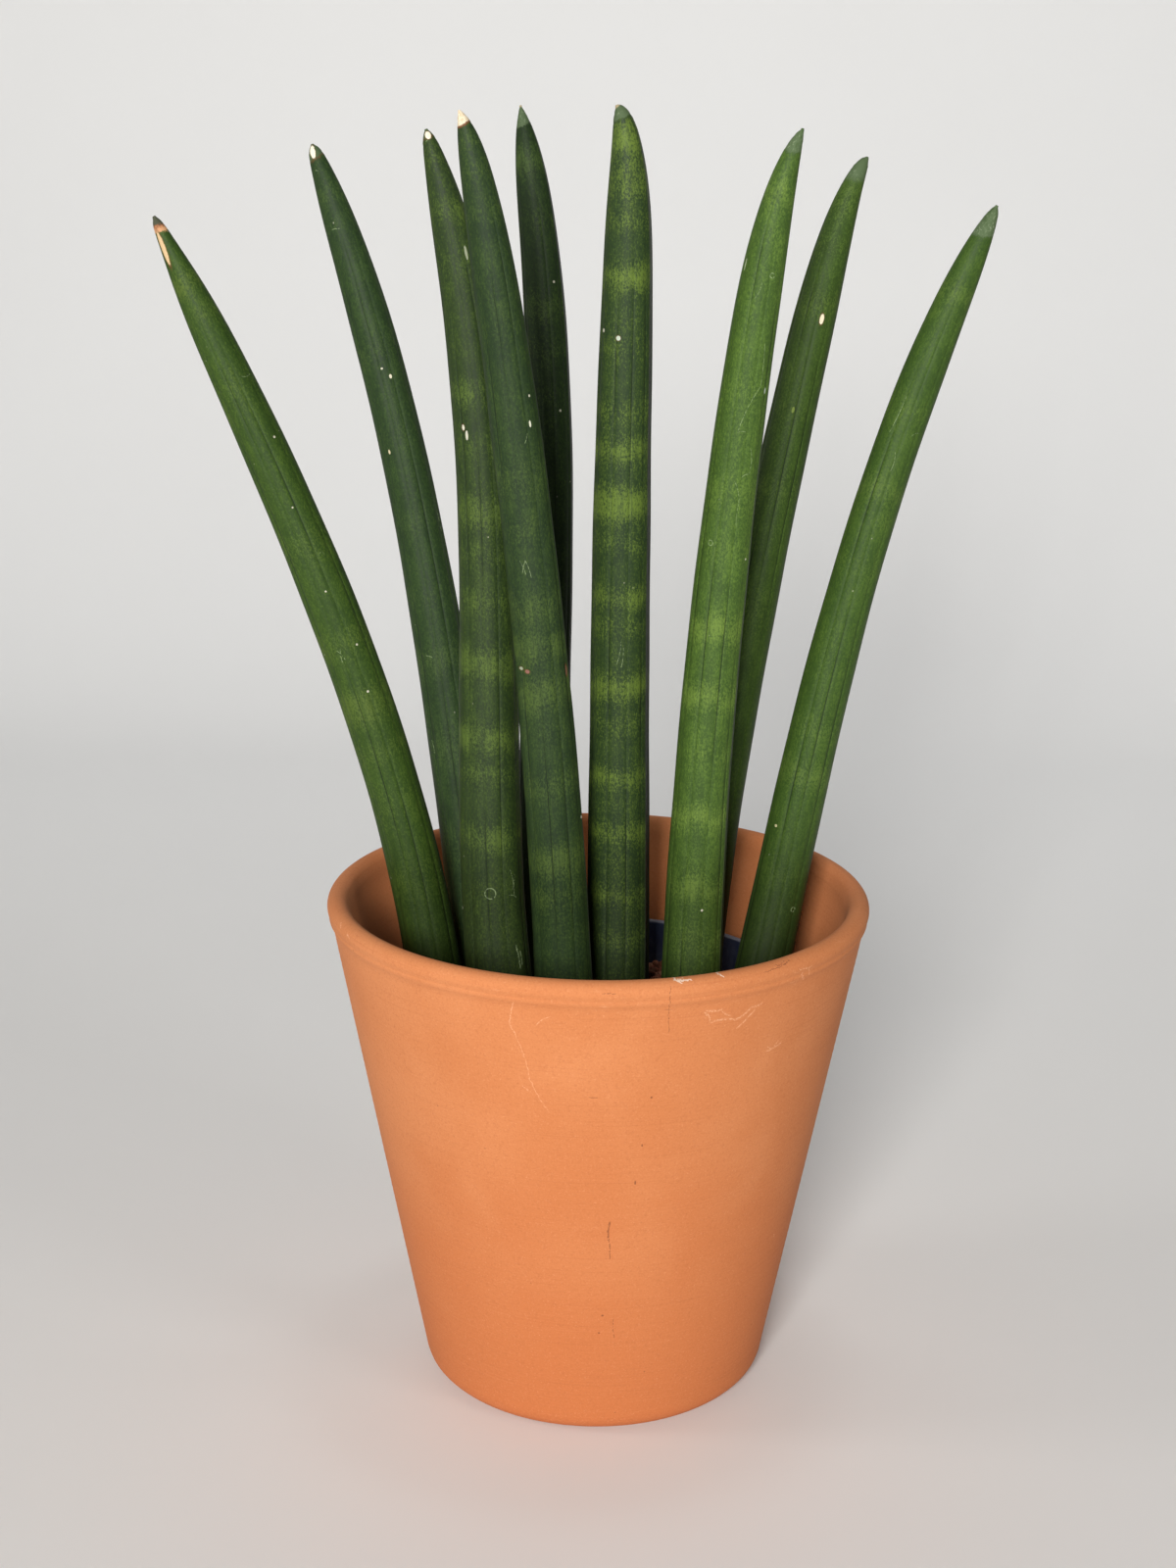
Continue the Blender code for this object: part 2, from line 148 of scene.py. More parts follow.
# %% One material and its nodes
class Finish:
    """One procedural material, built around its Principled shader."""

    def __init__(self, name):
        self.material = bpy.data.materials.new(name)
        self.material.use_nodes = True
        self.tree = self.material.node_tree
        self.shader = self.tree.nodes["Principled BSDF"]

    def feed(self, socket, value):
        if isinstance(value, Value):
            self.tree.links.new(value.socket, socket)
        elif isinstance(value, tuple) and len(value) == 3 and socket.type == "RGBA":
            socket.default_value = (*value, 1.0)
        else:
            socket.default_value = value

    def node(self, kind, settings=None, sockets=None, out=0):
        made = self.tree.nodes.new("ShaderNode" + kind)
        for name, value in (settings or {}).items():
            setattr(made, name, value)
        for name, value in (sockets or {}).items():
            self.feed(made.inputs[name], value)
        return Value(self, made.outputs[out])

    def surface(self, **sockets):
        for name, value in sockets.items():
            self.feed(self.shader.inputs[name.replace("_", " ")], value)
        return self.material

    def place(self):
        """The surface point in the object's own frame, in millimetres."""
        return self.stretch(self.node("TexCoord", out=3), (1000.0, 1000.0, 1000.0))

    def attribute(self, name, out="Fac"):
        return self.node("Attribute", {"attribute_name": name}, out=out)

    def stretch(self, vector, amounts):
        return self.node("VectorMath", {"operation": "MULTIPLY"}, {0: vector, 1: amounts})

    def shift(self, vector, offset):
        return self.node("VectorMath", {"operation": "ADD"}, {0: vector, 1: offset})

    def split(self, vector):
        return [self.node("SeparateXYZ", sockets={0: vector}, out=axis) for axis in range(3)]

    def join(self, x, y, z):
        return self.node("CombineXYZ", sockets={0: x, 1: y, 2: z})

    def noise(self, vector, scale, detail=2.0, roughness=0.5, distortion=0.0):
        return self.node("TexNoise", {"noise_dimensions": "3D"},
                         {"Vector": vector, "Scale": scale, "Detail": detail, "Roughness": roughness,
                          "Distortion": distortion})

    def mix(self, amount, base, other):
        """One colour laid over another by an amount from 0 to 1."""
        return self.node("Mix", {"data_type": "RGBA"}, {0: amount, 6: base, 7: other}, out=2)

    def bump(self, height, depth):
        """Turn a height from 0 to 1 into a slope; depth is in millimetres."""
        return self.node("Bump", sockets={"Height": height, "Distance": depth * MM})


print("Finish: one material, with a method for any node")

# %% [markdown]
# ## Skins made of rings
#
# Every piece here except the granules is a stack of closed rings: the pots are rings about the upright
# axis, and a leaf is rings along its own line. One helper turns a block of points, one row for each ring,
# into a mesh, closes its ends, and stores extra numbers on its points that the materials read, such as
# how far a point is from the tip.

# %% Helpers for meshes made of rings
def with_end_middles(block):
    """The numbers of every ring in one list, then the means of the first ring and of the last one."""
    return np.vstack([block.reshape(-1, block.shape[2]), block[0].mean(axis=0), block[-1].mean(axis=0)])


def ring_mesh(name, points, values=None):
    """A closed mesh from points[ring, around, xyz] in millimetres, with extra values on its points."""
    rows, around, _ = points.shape
    index = np.arange(rows * around).reshape(rows, around)
    lower, upper = index[:-1], index[1:]
    quads = np.stack([lower, np.roll(lower, -1, axis=1), np.roll(upper, -1, axis=1), upper], axis=-1)
    faces = quads.reshape(-1, 4).tolist()
    first_middle, last_middle = rows * around, rows * around + 1
    for k in range(around):
        j = (k + 1) % around
        faces.append([first_middle, int(index[0, j]), int(index[0, k])])
        faces.append([last_middle, int(index[-1, k]), int(index[-1, j])])
    mesh = bpy.data.meshes.new(name)
    mesh.from_pydata((with_end_middles(points) * MM).tolist(), [], faces)
    for value_name, block in (values or {}).items():
        flat = with_end_middles(block.reshape(rows, around, -1))
        kind, field = ("FLOAT_VECTOR", "vector") if flat.shape[1] == 3 else ("FLOAT", "value")
        layer = mesh.attributes.new(value_name, kind, "POINT")
        layer.data.foreach_set(field, flat.astype(np.float32).ravel())
    mesh.shade_smooth()
    return add_piece(name, mesh)


def add_piece(name, mesh):
    piece = bpy.data.objects.new(name, mesh)
    bpy.context.scene.collection.objects.link(piece)
    return piece


def dress(piece, material, node):
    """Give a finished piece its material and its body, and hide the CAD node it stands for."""
    piece.data.materials.clear()
    piece.data.materials.append(material)
    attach(piece, "root")
    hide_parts(node)
    triangles = sum(len(face.vertices) - 2 for face in piece.data.polygons)
    print(piece.name, triangles, "triangles")


def waves(angle, strengths, seed):
    """A gentle closed wave round a ring: a few cosines of rising count with random phases."""
    rng = np.random.default_rng(seed)
    total = np.zeros_like(angle)
    for count, strength in enumerate(strengths, start=2):
        total += strength * np.cos(count * angle + rng.uniform(0, 2 * math.pi))
    return total


print("ring helpers ready")

# %% [markdown]
# ## The clay cover pot
#
# The pot was pressed and turned from red clay and fired without a glaze. Its wall is a straight cone
# about 6 mm thick. The lip is a fat roll, with one thin turned line under it and a low collar that fades
# into the wall, and the foot is rounded off. A profile spun about the upright axis is the natural way to
# make it. The profile is written as arcs and straight runs, then sampled closely, so that the lip catches
# a smooth band of light. The spun rings are pushed in and out by a tenth of a millimetre or two, because
# no fired pot is a true circle.

# %% Profile of the cover pot
_, pot_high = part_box("cover_pot")
POT_HEIGHT = pot_high[2] / MM
LIP_RADIUS = pot_high[0] / MM
NECK_RADIUS = 86.4
NECK_Z = 158.6
FOOT_RADIUS = 56.1
WALL = 6.2
FLOOR_Z = 10.0
FOOT_ROUND = 8.0
INNER_ROUND = 3.0
LIP_ROLL = 3.4
COVER_SIDES = 240
LIP_WAVES = (0.14, 0.06, 0.04)
LIP_SHY = 0.24
TURNING_DEPTH = 0.035
SLOPE = (NECK_RADIUS - FOOT_RADIUS) / NECK_Z
LEAN = math.degrees(math.atan(SLOPE))


def arc(centre, radius, start, end, count):
    angles = np.radians(np.linspace(start, end, count))
    return np.stack([centre[0] + radius * np.cos(angles), centre[1] + radius * np.sin(angles)], axis=1)


def run(start, end, count):
    """Points along a straight line, without its two ends."""
    shares = np.linspace(0, 1, count + 2)[1:-1, None]
    return np.array(start) * (1 - shares) + np.array(end) * shares


def pot_wall_radius(z):
    return FOOT_RADIUS + SLOPE * z


def cover_profile():
    lean = math.radians(LEAN)
    foot_centre = (pot_wall_radius(FOOT_ROUND) - FOOT_ROUND / math.cos(lean), FOOT_ROUND)
    inner_z = FLOOR_Z + INNER_ROUND
    inner_centre = (pot_wall_radius(inner_z) - WALL - INNER_ROUND / math.cos(lean), inner_z)
    crest = (LIP_RADIUS - LIP_ROLL, POT_HEIGHT - LIP_ROLL)
    floor = run((0.0, FLOOR_Z), (inner_centre[0], FLOOR_Z), 10)
    inner_foot = arc(inner_centre, INNER_ROUND, -90, -LEAN, 8)
    inner_neck = (NECK_RADIUS - WALL, NECK_Z)
    inner_wall = run(inner_foot[-1], inner_neck, 70)
    inner_lip = run(inner_neck, (inner_neck[0] + 0.55, crest[1]), 4)
    lip = arc(crest, LIP_ROLL, 158, -28, 30)
    foot = arc(foot_centre, FOOT_ROUND, -LEAN, -90, 16)
    outer_wall = run((NECK_RADIUS, NECK_Z - 0.4), foot[0], 110)
    under = run(foot[-1], (0.0, 0.0), 10)
    collar_top = (lip[-1][0] - 0.08, lip[-1][1] - 0.35)
    line_bottom = (collar_top[0] - 0.12, collar_top[1] - 0.3)
    collar = [(line_bottom[0] + 0.10, line_bottom[1] - 0.35), (line_bottom[0] + 0.06, line_bottom[1] - 1.0),
              (NECK_RADIUS + 0.55, NECK_Z + 0.4), (NECK_RADIUS + 0.2, NECK_Z - 0.1)]
    return np.vstack([floor, inner_foot, inner_wall, inner_lip, lip, [collar_top], [line_bottom], collar,
                      outer_wall, foot, under])


profile = cover_profile()
print("cover pot profile:", len(profile), "points, widest", round(float(profile[:, 0].max()), 2), "mm")

# %% Spin the cover pot
def spin(profile, sides, wobble=None):
    """Rings about Z from a profile of (r, z) points; wobble(angle, r, z) adds to the radius."""
    angle = np.linspace(0, 2 * math.pi, sides, endpoint=False)[None, :]
    r = profile[:, 0:1] * np.ones_like(angle)
    z = profile[:, 1:2] * np.ones_like(angle)
    if wobble is not None:
        r = r + wobble(angle, r, z)
    return np.stack([r * np.cos(angle), r * np.sin(angle), z], axis=-1)


def cover_wobble(angle, r, z):
    """Out of round by a little, more at the lip, and never wider than the CAD pot."""
    share = np.clip(z / POT_HEIGHT, 0, 1)
    turning = TURNING_DEPTH * np.sin(z * 2.1 + 0.8 * np.sin(angle + z * 0.02))
    wall = (r > 15) * (z > 1)
    return wall * (share * (waves(angle, LIP_WAVES, 3) - LIP_SHY) + turning * (z < NECK_Z - 2))


cover_points = spin(profile, COVER_SIDES, cover_wobble)
cover_pot = ring_mesh("cover_pot_turned", cover_points[:, ::-1])
print("cover pot:", len(cover_pot.data.vertices), "points")

# %% [markdown]
# ## Marks as strokes and spots
#
# Wear isn't random: this pot has one long pale scratch under its lip, and this plant has one white oval
# on its back right leaf. Both skins are unrolled in the mind to a flat sheet, with the angle round the
# piece one way and the level along it the other way. A stroke is a bowed line between two places on that
# sheet, a spot is an ellipse and a halo is a thin ring. Each gives a mask from 0 to 1, and the largest of
# all masks is laid over the colour.

# %% Masks for strokes, spots and halos
DEGREES = 180 / math.pi
Stroke = namedtuple("Stroke", "degrees level end_degrees end_level bow width")
Spot = namedtuple("Spot", "degrees level half_length half_width colour")
Halo = namedtuple("Halo", "degrees level radius width")


def stroke_mask(stroke, angle, level, arc):
    """1 on a bowed line that thins out at its ends; arc is the length in mm of one degree round the piece."""
    across = (stroke.end_degrees - stroke.degrees) * arc
    down = stroke.end_level - stroke.level
    length = math.hypot(across, down)
    right, up = across / length, down / length
    start = -stroke.degrees * arc * right - stroke.level * up
    side = stroke.level * right - stroke.degrees * arc * up
    share = angle.times_plus(arc * right / length, level.times_plus(up / length, start / length))
    aside = angle.times_plus(arc * up, level.times_plus(-right, side))
    middle = share * (1.0 - share)
    aside = middle.times_plus(-4.0 * stroke.bow, aside)
    return aside.size().rise(stroke.width, stroke.width * 0.35) * middle.rise(-0.03, 0.05)


def spot_reach(spot, angle, level, arc, ragged):
    """0 in the middle of a spot, 1 on its edge."""
    u = (angle - spot.degrees) * arc / spot.half_width
    v = (level - spot.level) / spot.half_length
    return (u * u + v * v) ** 0.5 + ragged


def halo_mask(halo, angle, level, arc):
    u = (angle - halo.degrees) * arc
    v = level - halo.level
    return ((u * u + v * v) ** 0.5 - halo.radius).size().rise(halo.width, halo.width * 0.3)


def most_of(masks):
    """The largest of many masks."""
    total = masks[0]
    for mask in masks[1:]:
        total = total.most(mask)
    return total


def stroke_masks(strokes, angle, level, arc):
    return [stroke_mask(stroke, angle, level, arc) for stroke in strokes]


print("marks are drawn in degrees and millimetres")

# %% [markdown]
# The clay's colour is a warm, full orange and nearly even. The fire leaves only very soft clouds, the
# turning leaves fine level lines, and close up the skin is a salt and pepper of pale grog and dark pores.
# On that lie the marks: the long scratch with its side branches, loops and chips by the lip, a hair crack
# that runs down from the rim, a short crack low down, and a few dark dashes and pinholes.

# %% Marks on the clay
PALE_STROKES = (
    Stroke(-106.4, 159.6, -107.7, 151.3, 0.25, 0.22),
    Stroke(-107.7, 151.3, -104.2, 133.4, -0.9, 0.17),
    Stroke(-104.4, 134.6, -100.2, 122.0, 0.5, 0.17),
    Stroke(-106.0, 130.9, -103.9, 128.6, 0.2, 0.15),
    Stroke(-99.1, 155.3, -102.1, 152.0, 0.5, 0.20),
    Stroke(-68.0, 155.9, -64.4, 155.5, 0.5, 0.41),
    Stroke(-68.4, 155.4, -66.7, 151.4, -0.6, 0.41),
    Stroke(-66.7, 151.4, -60.9, 150.8, -0.8, 0.48),
    Stroke(-60.9, 150.8, -57.4, 154.3, 0.5, 0.48),
    Stroke(-57.6, 154.2, -54.6, 154.9, 0.5, 0.44),
    Stroke(-64.6, 155.2, -62.2, 152.6, 0.3, 0.22),
    Stroke(-60.3, 147.7, -56.4, 153.2, 0.2, 0.41),
    Stroke(-46.5, 163.4, -42.5, 162.6, 0.5, 0.24),
    Stroke(-44.5, 163.0, -42.8, 159.8, -0.6, 0.24),
    Stroke(-51.6, 136.7, -46.9, 138.2, 0.3, 0.34),
    Stroke(-50.4, 136.4, -48.0, 139.4, 0.2, 0.26),
    Stroke(-51.2, 138.2, -49.0, 137.0, 0.2, 0.30),
    Stroke(-157.6, 165.6, -156.2, 164.4, 0.0, 0.40),
    Stroke(-152.6, 164.4, -150.8, 163.6, 0.0, 0.40),
    Stroke(-45.2, 161.6, -44.0, 158.6, 0.3, 0.40),
    Stroke(-31.0, 61.0, -30.4, 59.6, 0.0, 0.40),
    Stroke(74.0, 140.0, 69.0, 112.0, 2.2, 0.24),
    Stroke(160.0, 120.0, 163.0, 96.0, -1.5, 0.22),
    Stroke(20.0, 90.0, 12.0, 76.0, 1.5, 0.22),
)
CHIPS = (
    Stroke(-74.9, 166.5, -71.2, 166.1, 0.1, 0.22),
    Stroke(-74.6, 166.7, -73.4, 165.5, 0.0, 0.26),
    Stroke(-65.4, 166.8, -64.4, 165.9, 0.0, 0.20),
)
DARK_STROKES = (
    Stroke(-75.9, 165.6, -75.4, 150.0, 0.3, 0.13),
    Stroke(-76.6, 157.6, -75.2, 157.4, 0.0, 0.22),
    Stroke(-89.0, 163.9, -86.4, 163.8, 0.0, 0.20),
    Stroke(-91.8, 128.0, -89.6, 128.1, 0.0, 0.18),
    Stroke(-86.2, 83.2, -86.5, 76.0, 0.4, 0.42),
    Stroke(-86.5, 76.0, -86.1, 69.0, -0.3, 0.24),
    Stroke(-84.6, 46.0, -84.2, 38.5, 0.2, 0.18),
    Stroke(-55.5, 165.0, -48.0, 166.1, 0.1, 0.12),
    Stroke(-52.5, 165.9, -49.2, 166.3, 0.1, 0.12),
    Stroke(118.0, 60.0, 119.0, 44.0, 0.6, 0.26),
)
PINHOLES = (
    Spot(-78.1, 127.5, 0.40, 0.40, None),
    Spot(-80.6, 97.2, 0.75, 0.30, None),
    Spot(-79.5, 110.6, 0.50, 0.28, None),
    Spot(-87.6, 47.4, 0.35, 0.50, None),
    Spot(-88.5, 40.6, 0.35, 0.45, None),
)
print("marks on the clay:", len(PALE_STROKES) + len(CHIPS) + len(DARK_STROKES) + len(PINHOLES))

# %% Finish of the fired clay
CLAY = (0.595, 0.205, 0.071)
CLAY_SHADED_FOOT = (0.570, 0.176, 0.056)
CLAY_PALE = (0.648, 0.240, 0.091)
CLAY_DARK = (0.440, 0.125, 0.042)
CLAY_DUST = (0.83, 0.45, 0.25)
CHIPPED = (0.87, 0.70, 0.56)
SOOT = (0.20, 0.058, 0.024)
INSIDE_PAINTED_SHADE = (0.50, 0.155, 0.056)
CLAY_ARC = 80.0 / DEGREES


def clay_finish():
    clay = Finish("fired clay")
    place = clay.place()
    x, y, z = clay.split(place)
    angle = y.math("ARCTAN2", y, x) * DEGREES
    radius = (x * x + y * y) ** 0.5
    inside = (radius - (FOOT_RADIUS - 3.0) - z * SLOPE).rise(-0.5, -2.5)
    clouds = clay.noise(place, 0.024, 3.0, 0.5, 0.3)
    lines = clay.noise(clay.join(angle * 0.018, z * 1.5, inside * 9.0), 1.0, 4.0, 0.62)
    grain = clay.noise(place, 1.7, 3.0, 0.7)
    broken = clay.noise(place, 0.8, 3.0, 0.6)
    # Painted shade: the clay is darker towards the foot, and its pale clouds fade out downwards.
    colour = clay.mix(z.rise(150.0, 30.0), CLAY, CLAY_SHADED_FOOT)
    colour = clay.mix(clouds.rise(0.3, 0.7) * z.rise(0.0, 150.0), colour, CLAY_PALE)
    colour = clay.mix(lines.rise(0.52, 0.78) * 0.30, colour, CLAY_PALE)
    colour = clay.mix(lines.rise(0.46, 0.24) * 0.30, colour, CLAY_DARK)
    colour = clay.mix(broken.rise(0.50, 0.74) * 0.26, colour, CLAY_DARK)
    colour = clay.mix(grain.rise(0.52, 0.74) * 0.38, colour, CLAY_DARK)
    colour = clay.mix(grain.rise(0.44, 0.24) * 0.28, colour, CLAY_DUST)
    # Painted shade: the inside of the pot is made a little darker and browner.
    colour = clay.mix(inside * 0.15, colour, INSIDE_PAINTED_SHADE)
    outside = 1.0 - inside
    ragged = broken - 0.5
    marked_angle = angle + ragged * 0.9
    marked_level = z + ragged * 1.3
    scratches = most_of(stroke_masks(PALE_STROKES, marked_angle, marked_level, CLAY_ARC))
    above_wall = z.rise(POT_HEIGHT - 11.0, POT_HEIGHT - 6.0)
    under_lip = above_wall * z.rise(POT_HEIGHT + 0.5, POT_HEIGHT - 4.0)
    scuffs = clay.noise(clay.join(angle * 0.14, z * 0.5, 3.0), 1.0, 5.0, 0.7).rise(0.60, 0.74) * under_lip
    pale = (scratches * grain.rise(0.40, 0.56)).most(scuffs * 0.5) * outside
    colour = clay.mix(pale * 0.62, colour, CLAY_DUST)
    chips = most_of(stroke_masks(CHIPS, marked_angle, marked_level, CLAY_ARC))
    colour = clay.mix(chips * outside * 0.8, colour, CHIPPED)
    cracks = most_of(stroke_masks(DARK_STROKES, marked_angle, marked_level, CLAY_ARC))
    holes = most_of([spot_reach(spot, angle, z, CLAY_ARC, ragged * 0.7).rise(1.2, 0.7) for spot in PINHOLES])
    pits = clay.node("TexVoronoi", {"feature": "F1"}, {"Vector": place, "Scale": 0.16, "Randomness": 1.0})
    pits = pits.rise(0.055, 0.025) * clouds.rise(0.45, 0.6)
    dark = (cracks * grain.rise(0.38, 0.52)).most(holes).most(pits * 0.7) * outside
    colour = clay.mix(dark * 0.78, colour, SOOT)
    roughness = 0.80 - pale * 0.1 + grain * 0.12
    height = lines * 0.4 + grain * 0.4
    return clay.surface(Base_Color=colour, Roughness=roughness, Normal=clay.bump(height, 0.12),
                        Specular_IOR_Level=0.32)


dress(cover_pot, clay_finish(), "cover_pot")

# %% [markdown]
# ## The nursery pot
#
# The plant was sold in a thin moulded pot of dark blue plastic. Only its far rim and a strip of its inner
# wall show between the leaves, but from above the whole rim does. It is another turned shape: a wall just
# over a millimetre thick, a rim rolled outwards, a foot ring and a floor. The floor has one drainage hole
# in the middle and eight around it. Nine short rods, subtracted from the turned mesh, cut them.

# %% Spin the nursery pot
nursery_low, nursery_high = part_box("nursery_pot")
NURSERY_RIM_Z = nursery_high[2] / MM
NURSERY_RIM_RADIUS = nursery_high[0] / MM
NURSERY_FOOT_Z = nursery_low[2] / MM
NURSERY_BASE_RADIUS = 48.5
NURSERY_WALL = 1.2
FOOT_RING_HEIGHT = 3.0
FOOT_RING_WIDTH = 3.0
FOOT_RING_TAPER = 1.0
RIM_OVERHANG = 1.0
RIM_HEIGHT = 5.0
NURSERY_SIDES = 192


def nursery_inner_radius(z):
    share = (z - NURSERY_FOOT_Z) / (NURSERY_RIM_Z - NURSERY_FOOT_Z)
    outer = NURSERY_BASE_RADIUS + (NURSERY_RIM_RADIUS - RIM_OVERHANG - NURSERY_BASE_RADIUS) * share
    return outer - NURSERY_WALL


def nursery_profile():
    floor_under = NURSERY_FOOT_Z + FOOT_RING_HEIGHT
    foot_inside = NURSERY_BASE_RADIUS - FOOT_RING_WIDTH
    floor_top = floor_under + NURSERY_WALL
    rim_under = NURSERY_RIM_Z - RIM_HEIGHT
    inner_rim = nursery_inner_radius(NURSERY_RIM_Z)
    roll = (NURSERY_RIM_RADIUS - inner_rim) / 2
    outer_rim = nursery_inner_radius(rim_under) + NURSERY_WALL
    floor = run((0.0, floor_top), (nursery_inner_radius(floor_top), floor_top), 8)
    inner = run((nursery_inner_radius(floor_top), floor_top), (inner_rim, NURSERY_RIM_Z - roll), 40)
    crest = arc((inner_rim + roll, NURSERY_RIM_Z - roll), roll, 180, 0, 10)
    skirt = run(crest[-1], (outer_rim + RIM_OVERHANG, rim_under), 4)
    lip_under = np.array([(outer_rim + RIM_OVERHANG, rim_under), (outer_rim + 0.2, rim_under)])
    outer = run((outer_rim, rim_under - 0.2), (NURSERY_BASE_RADIUS, NURSERY_FOOT_Z), 40)
    foot = np.array([(NURSERY_BASE_RADIUS, NURSERY_FOOT_Z), (foot_inside, NURSERY_FOOT_Z),
                     (foot_inside - FOOT_RING_TAPER, floor_under)])
    under = run((foot_inside - FOOT_RING_TAPER, floor_under), (0.0, floor_under), 8)
    return np.vstack([floor, inner, crest, skirt, lip_under, outer, foot, under])


nursery_pot = ring_mesh("nursery_pot_moulded", spin(nursery_profile(), NURSERY_SIDES)[:, ::-1])
print("nursery pot: rim at", round(NURSERY_RIM_Z, 1), "mm, radius", round(NURSERY_RIM_RADIUS, 1), "mm")

# %% Cut the drainage holes
HOLE_RADIUS = 4.5
HOLE_CIRCLE = 33.0
HOLES_ROUND = 8
HOLE_SIDES = 40
ROD_LENGTH = 12.0
SHARP_EDGE = math.radians(40)


def hole_rods():
    """Rods through the pot's floor, one for each hole."""
    angles = (np.arange(HOLES_ROUND) + 0.5) * 2 * math.pi / HOLES_ROUND
    places = [(0.0, 0.0)]
    places += [(HOLE_CIRCLE * math.cos(angle), HOLE_CIRCLE * math.sin(angle)) for angle in angles]
    middle_z = NURSERY_FOOT_Z + FOOT_RING_HEIGHT + NURSERY_WALL / 2
    rods = bmesh.new()
    for x, y in places:
        bmesh.ops.create_cone(rods, cap_ends=True, segments=HOLE_SIDES, radius1=HOLE_RADIUS * MM,
                              radius2=HOLE_RADIUS * MM, depth=ROD_LENGTH * MM,
                              matrix=Matrix.Translation(Vector((x, y, middle_z)) * MM))
    mesh = bpy.data.meshes.new("hole_rods")
    rods.to_mesh(mesh)
    rods.free()
    return add_piece("hole_rods", mesh)


rods = hole_rods()
drill = nursery_pot.modifiers.new("holes", "BOOLEAN")
drill.operation = "DIFFERENCE"
drill.solver = "EXACT"
drill.object = rods
evaluated = nursery_pot.evaluated_get(bpy.context.evaluated_depsgraph_get())
drilled = bpy.data.meshes.new_from_object(evaluated)
drilled.set_sharp_from_angle(angle=SHARP_EDGE)
nursery_pot.modifiers.clear()
nursery_pot.data = drilled
bpy.data.objects.remove(rods)
print("nursery pot with", HOLES_ROUND + 1, "drainage holes")

# %% [markdown]
# Moulded plastic is smooth but never clean here: watering leaves a chalky film that thins towards the
# rim, and dust of the granules clings to the wall. Along the top of the rim lies a painted highlight, a
# paler grey band.

# %% Finish of the blue plastic
NAVY = (0.018, 0.026, 0.062)
NAVY_FILM = (0.075, 0.088, 0.125)
RIM_PAINTED_HIGHLIGHT = (0.23, 0.23, 0.27)
DUST_ON_PLASTIC = (0.20, 0.12, 0.08)


def plastic_finish():
    plastic = Finish("blue plastic")
    place = plastic.place()
    x, y, z = plastic.split(place)
    angle = y.math("ARCTAN2", y, x)
    streaks = plastic.noise(plastic.join(angle * 22.0, z * 0.05, 0.0), 1.0, 4.0, 0.6)
    film = plastic.noise(place, 0.09, 4.0, 0.6)
    speckle = plastic.noise(place, 1.4, 2.0, 0.6)
    dust = (film.rise(0.42, 0.7) * 0.6 + streaks.rise(0.5, 0.75) * 0.3).least(1.0)
    colour = plastic.mix(dust, NAVY, NAVY_FILM)
    colour = plastic.mix(speckle.rise(0.68, 0.78) * 0.4, colour, DUST_ON_PLASTIC)
    # Painted highlight: a paler grey band along the top of the rim.
    rim_highlight = z.rise(NURSERY_RIM_Z - 1.0, NURSERY_RIM_Z - 0.3) * (0.55 + streaks * 0.5)
    colour = plastic.mix(rim_highlight, colour, RIM_PAINTED_HIGHLIGHT)
    height = speckle * 0.4 + film * 0.6
    return plastic.surface(Base_Color=colour, Roughness=0.38 + dust * 0.35, Normal=plastic.bump(height, 0.08),
                           Specular_IOR_Level=0.45)


dress(nursery_pot, plastic_finish(), "nursery_pot")

# %% [markdown]
# ## The leaves
#
# Each leaf is a solid round spear. It rises from the soil, bows outwards, and narrows to a hard point,
# which on four of the leaves sits towards one edge. Fine grooves run along it, and down one side runs a
# shallow channel with two thin raised margins, where a flat leaf of its kind would have its upper face.
#
# The line of a leaf is one cubic curve from the soil to the tip with a lean at each end, the same as in
# the CAD model. Around that line go rings. Their points aren't evenly spaced: they crowd at the grooves,
# so that a groove less than a millimetre wide is real relief and not just a dark line.

# %% Where every leaf stands and how it bows
Leaf = namedtuple("Leaf", "node foot foot_lean tip tip_lean bow"
                          " radius slimming point fullness tip_side blunt")
LEAVES = (
    Leaf("leaf_left_outer", (-52.5, 2), (-0.09, 0.0), (-134.9, -6, 378.8), (-0.46, -0.05), 0.0,
         9.1, 0.20, 34, 0.75, 0.0, 0.55),
    Leaf("leaf_left_back", (-37.4, 20), (-0.13, 0.08), (-93.4, 46, 399.1), (-0.39, 0.12), 0.0,
         9.6, 0.33, 22, 0.65, 0.0, 0.6),
    Leaf("leaf_left_inner", (-30, -10), (-0.13, 0.0), (-53.3, -6, 404.6), (-0.30, 0.0), 0.3,
         10.9, 0.36, 22, 0.75, 0.0, 0.5),
    Leaf("leaf_middle_left", (-10, -14), (-0.04, -0.05), (-38.7, -34, 410.1), (-0.16, -0.1), 0.0,
         9.7, 0.32, 22, 0.65, -0.5, 0.05),
    Leaf("leaf_middle_back", (-17.5, 17), (-0.05, 0.06), (-27.2, 45, 411.5), (-0.19, 0.1), 0.3,
         9.1, 0.29, 20, 0.75, 0.0, -0.08),
    Leaf("leaf_middle_right", (6.7, 5), (-0.01, 0.0), (10.2, -8, 411.9), (0.08, -0.05), 0.9,
         10.5, 0.26, 26, 0.55, -1.0, 0.35),
    Leaf("leaf_right_inner", (30.5, -12), (0.0, 0.0), (51, -22, 405.9), (0.13, -0.05), 0.0,
         10.0, 0.33, 22, 0.75, 0.9, 0.22),
    Leaf("leaf_right_back", (31.5, 14), (0.09, 0.06), (76, 42, 396.9), (0.17, 0.12), -1.2,
         9.0, 0.24, 22, 0.7, 1.0, 0.6),
    Leaf("leaf_right_outer", (51.5, 3), (0.18, 0.0), (118.1, 4, 383.8), (0.45, 0.0), -0.2,
         9.3, 0.34, 19, 0.75, 0.0, 0.38),
)
GROUND_Z = 123.0
LEAF_RINGS = 300
FOOT_RINGS = 8
RING_CROWDING = 1.25
POINT_RADIUS = 0.45
FOOT_SLIMMING = 0.84
BLUNT_REACH = 2.5
FOOT_INWARD = 0.07


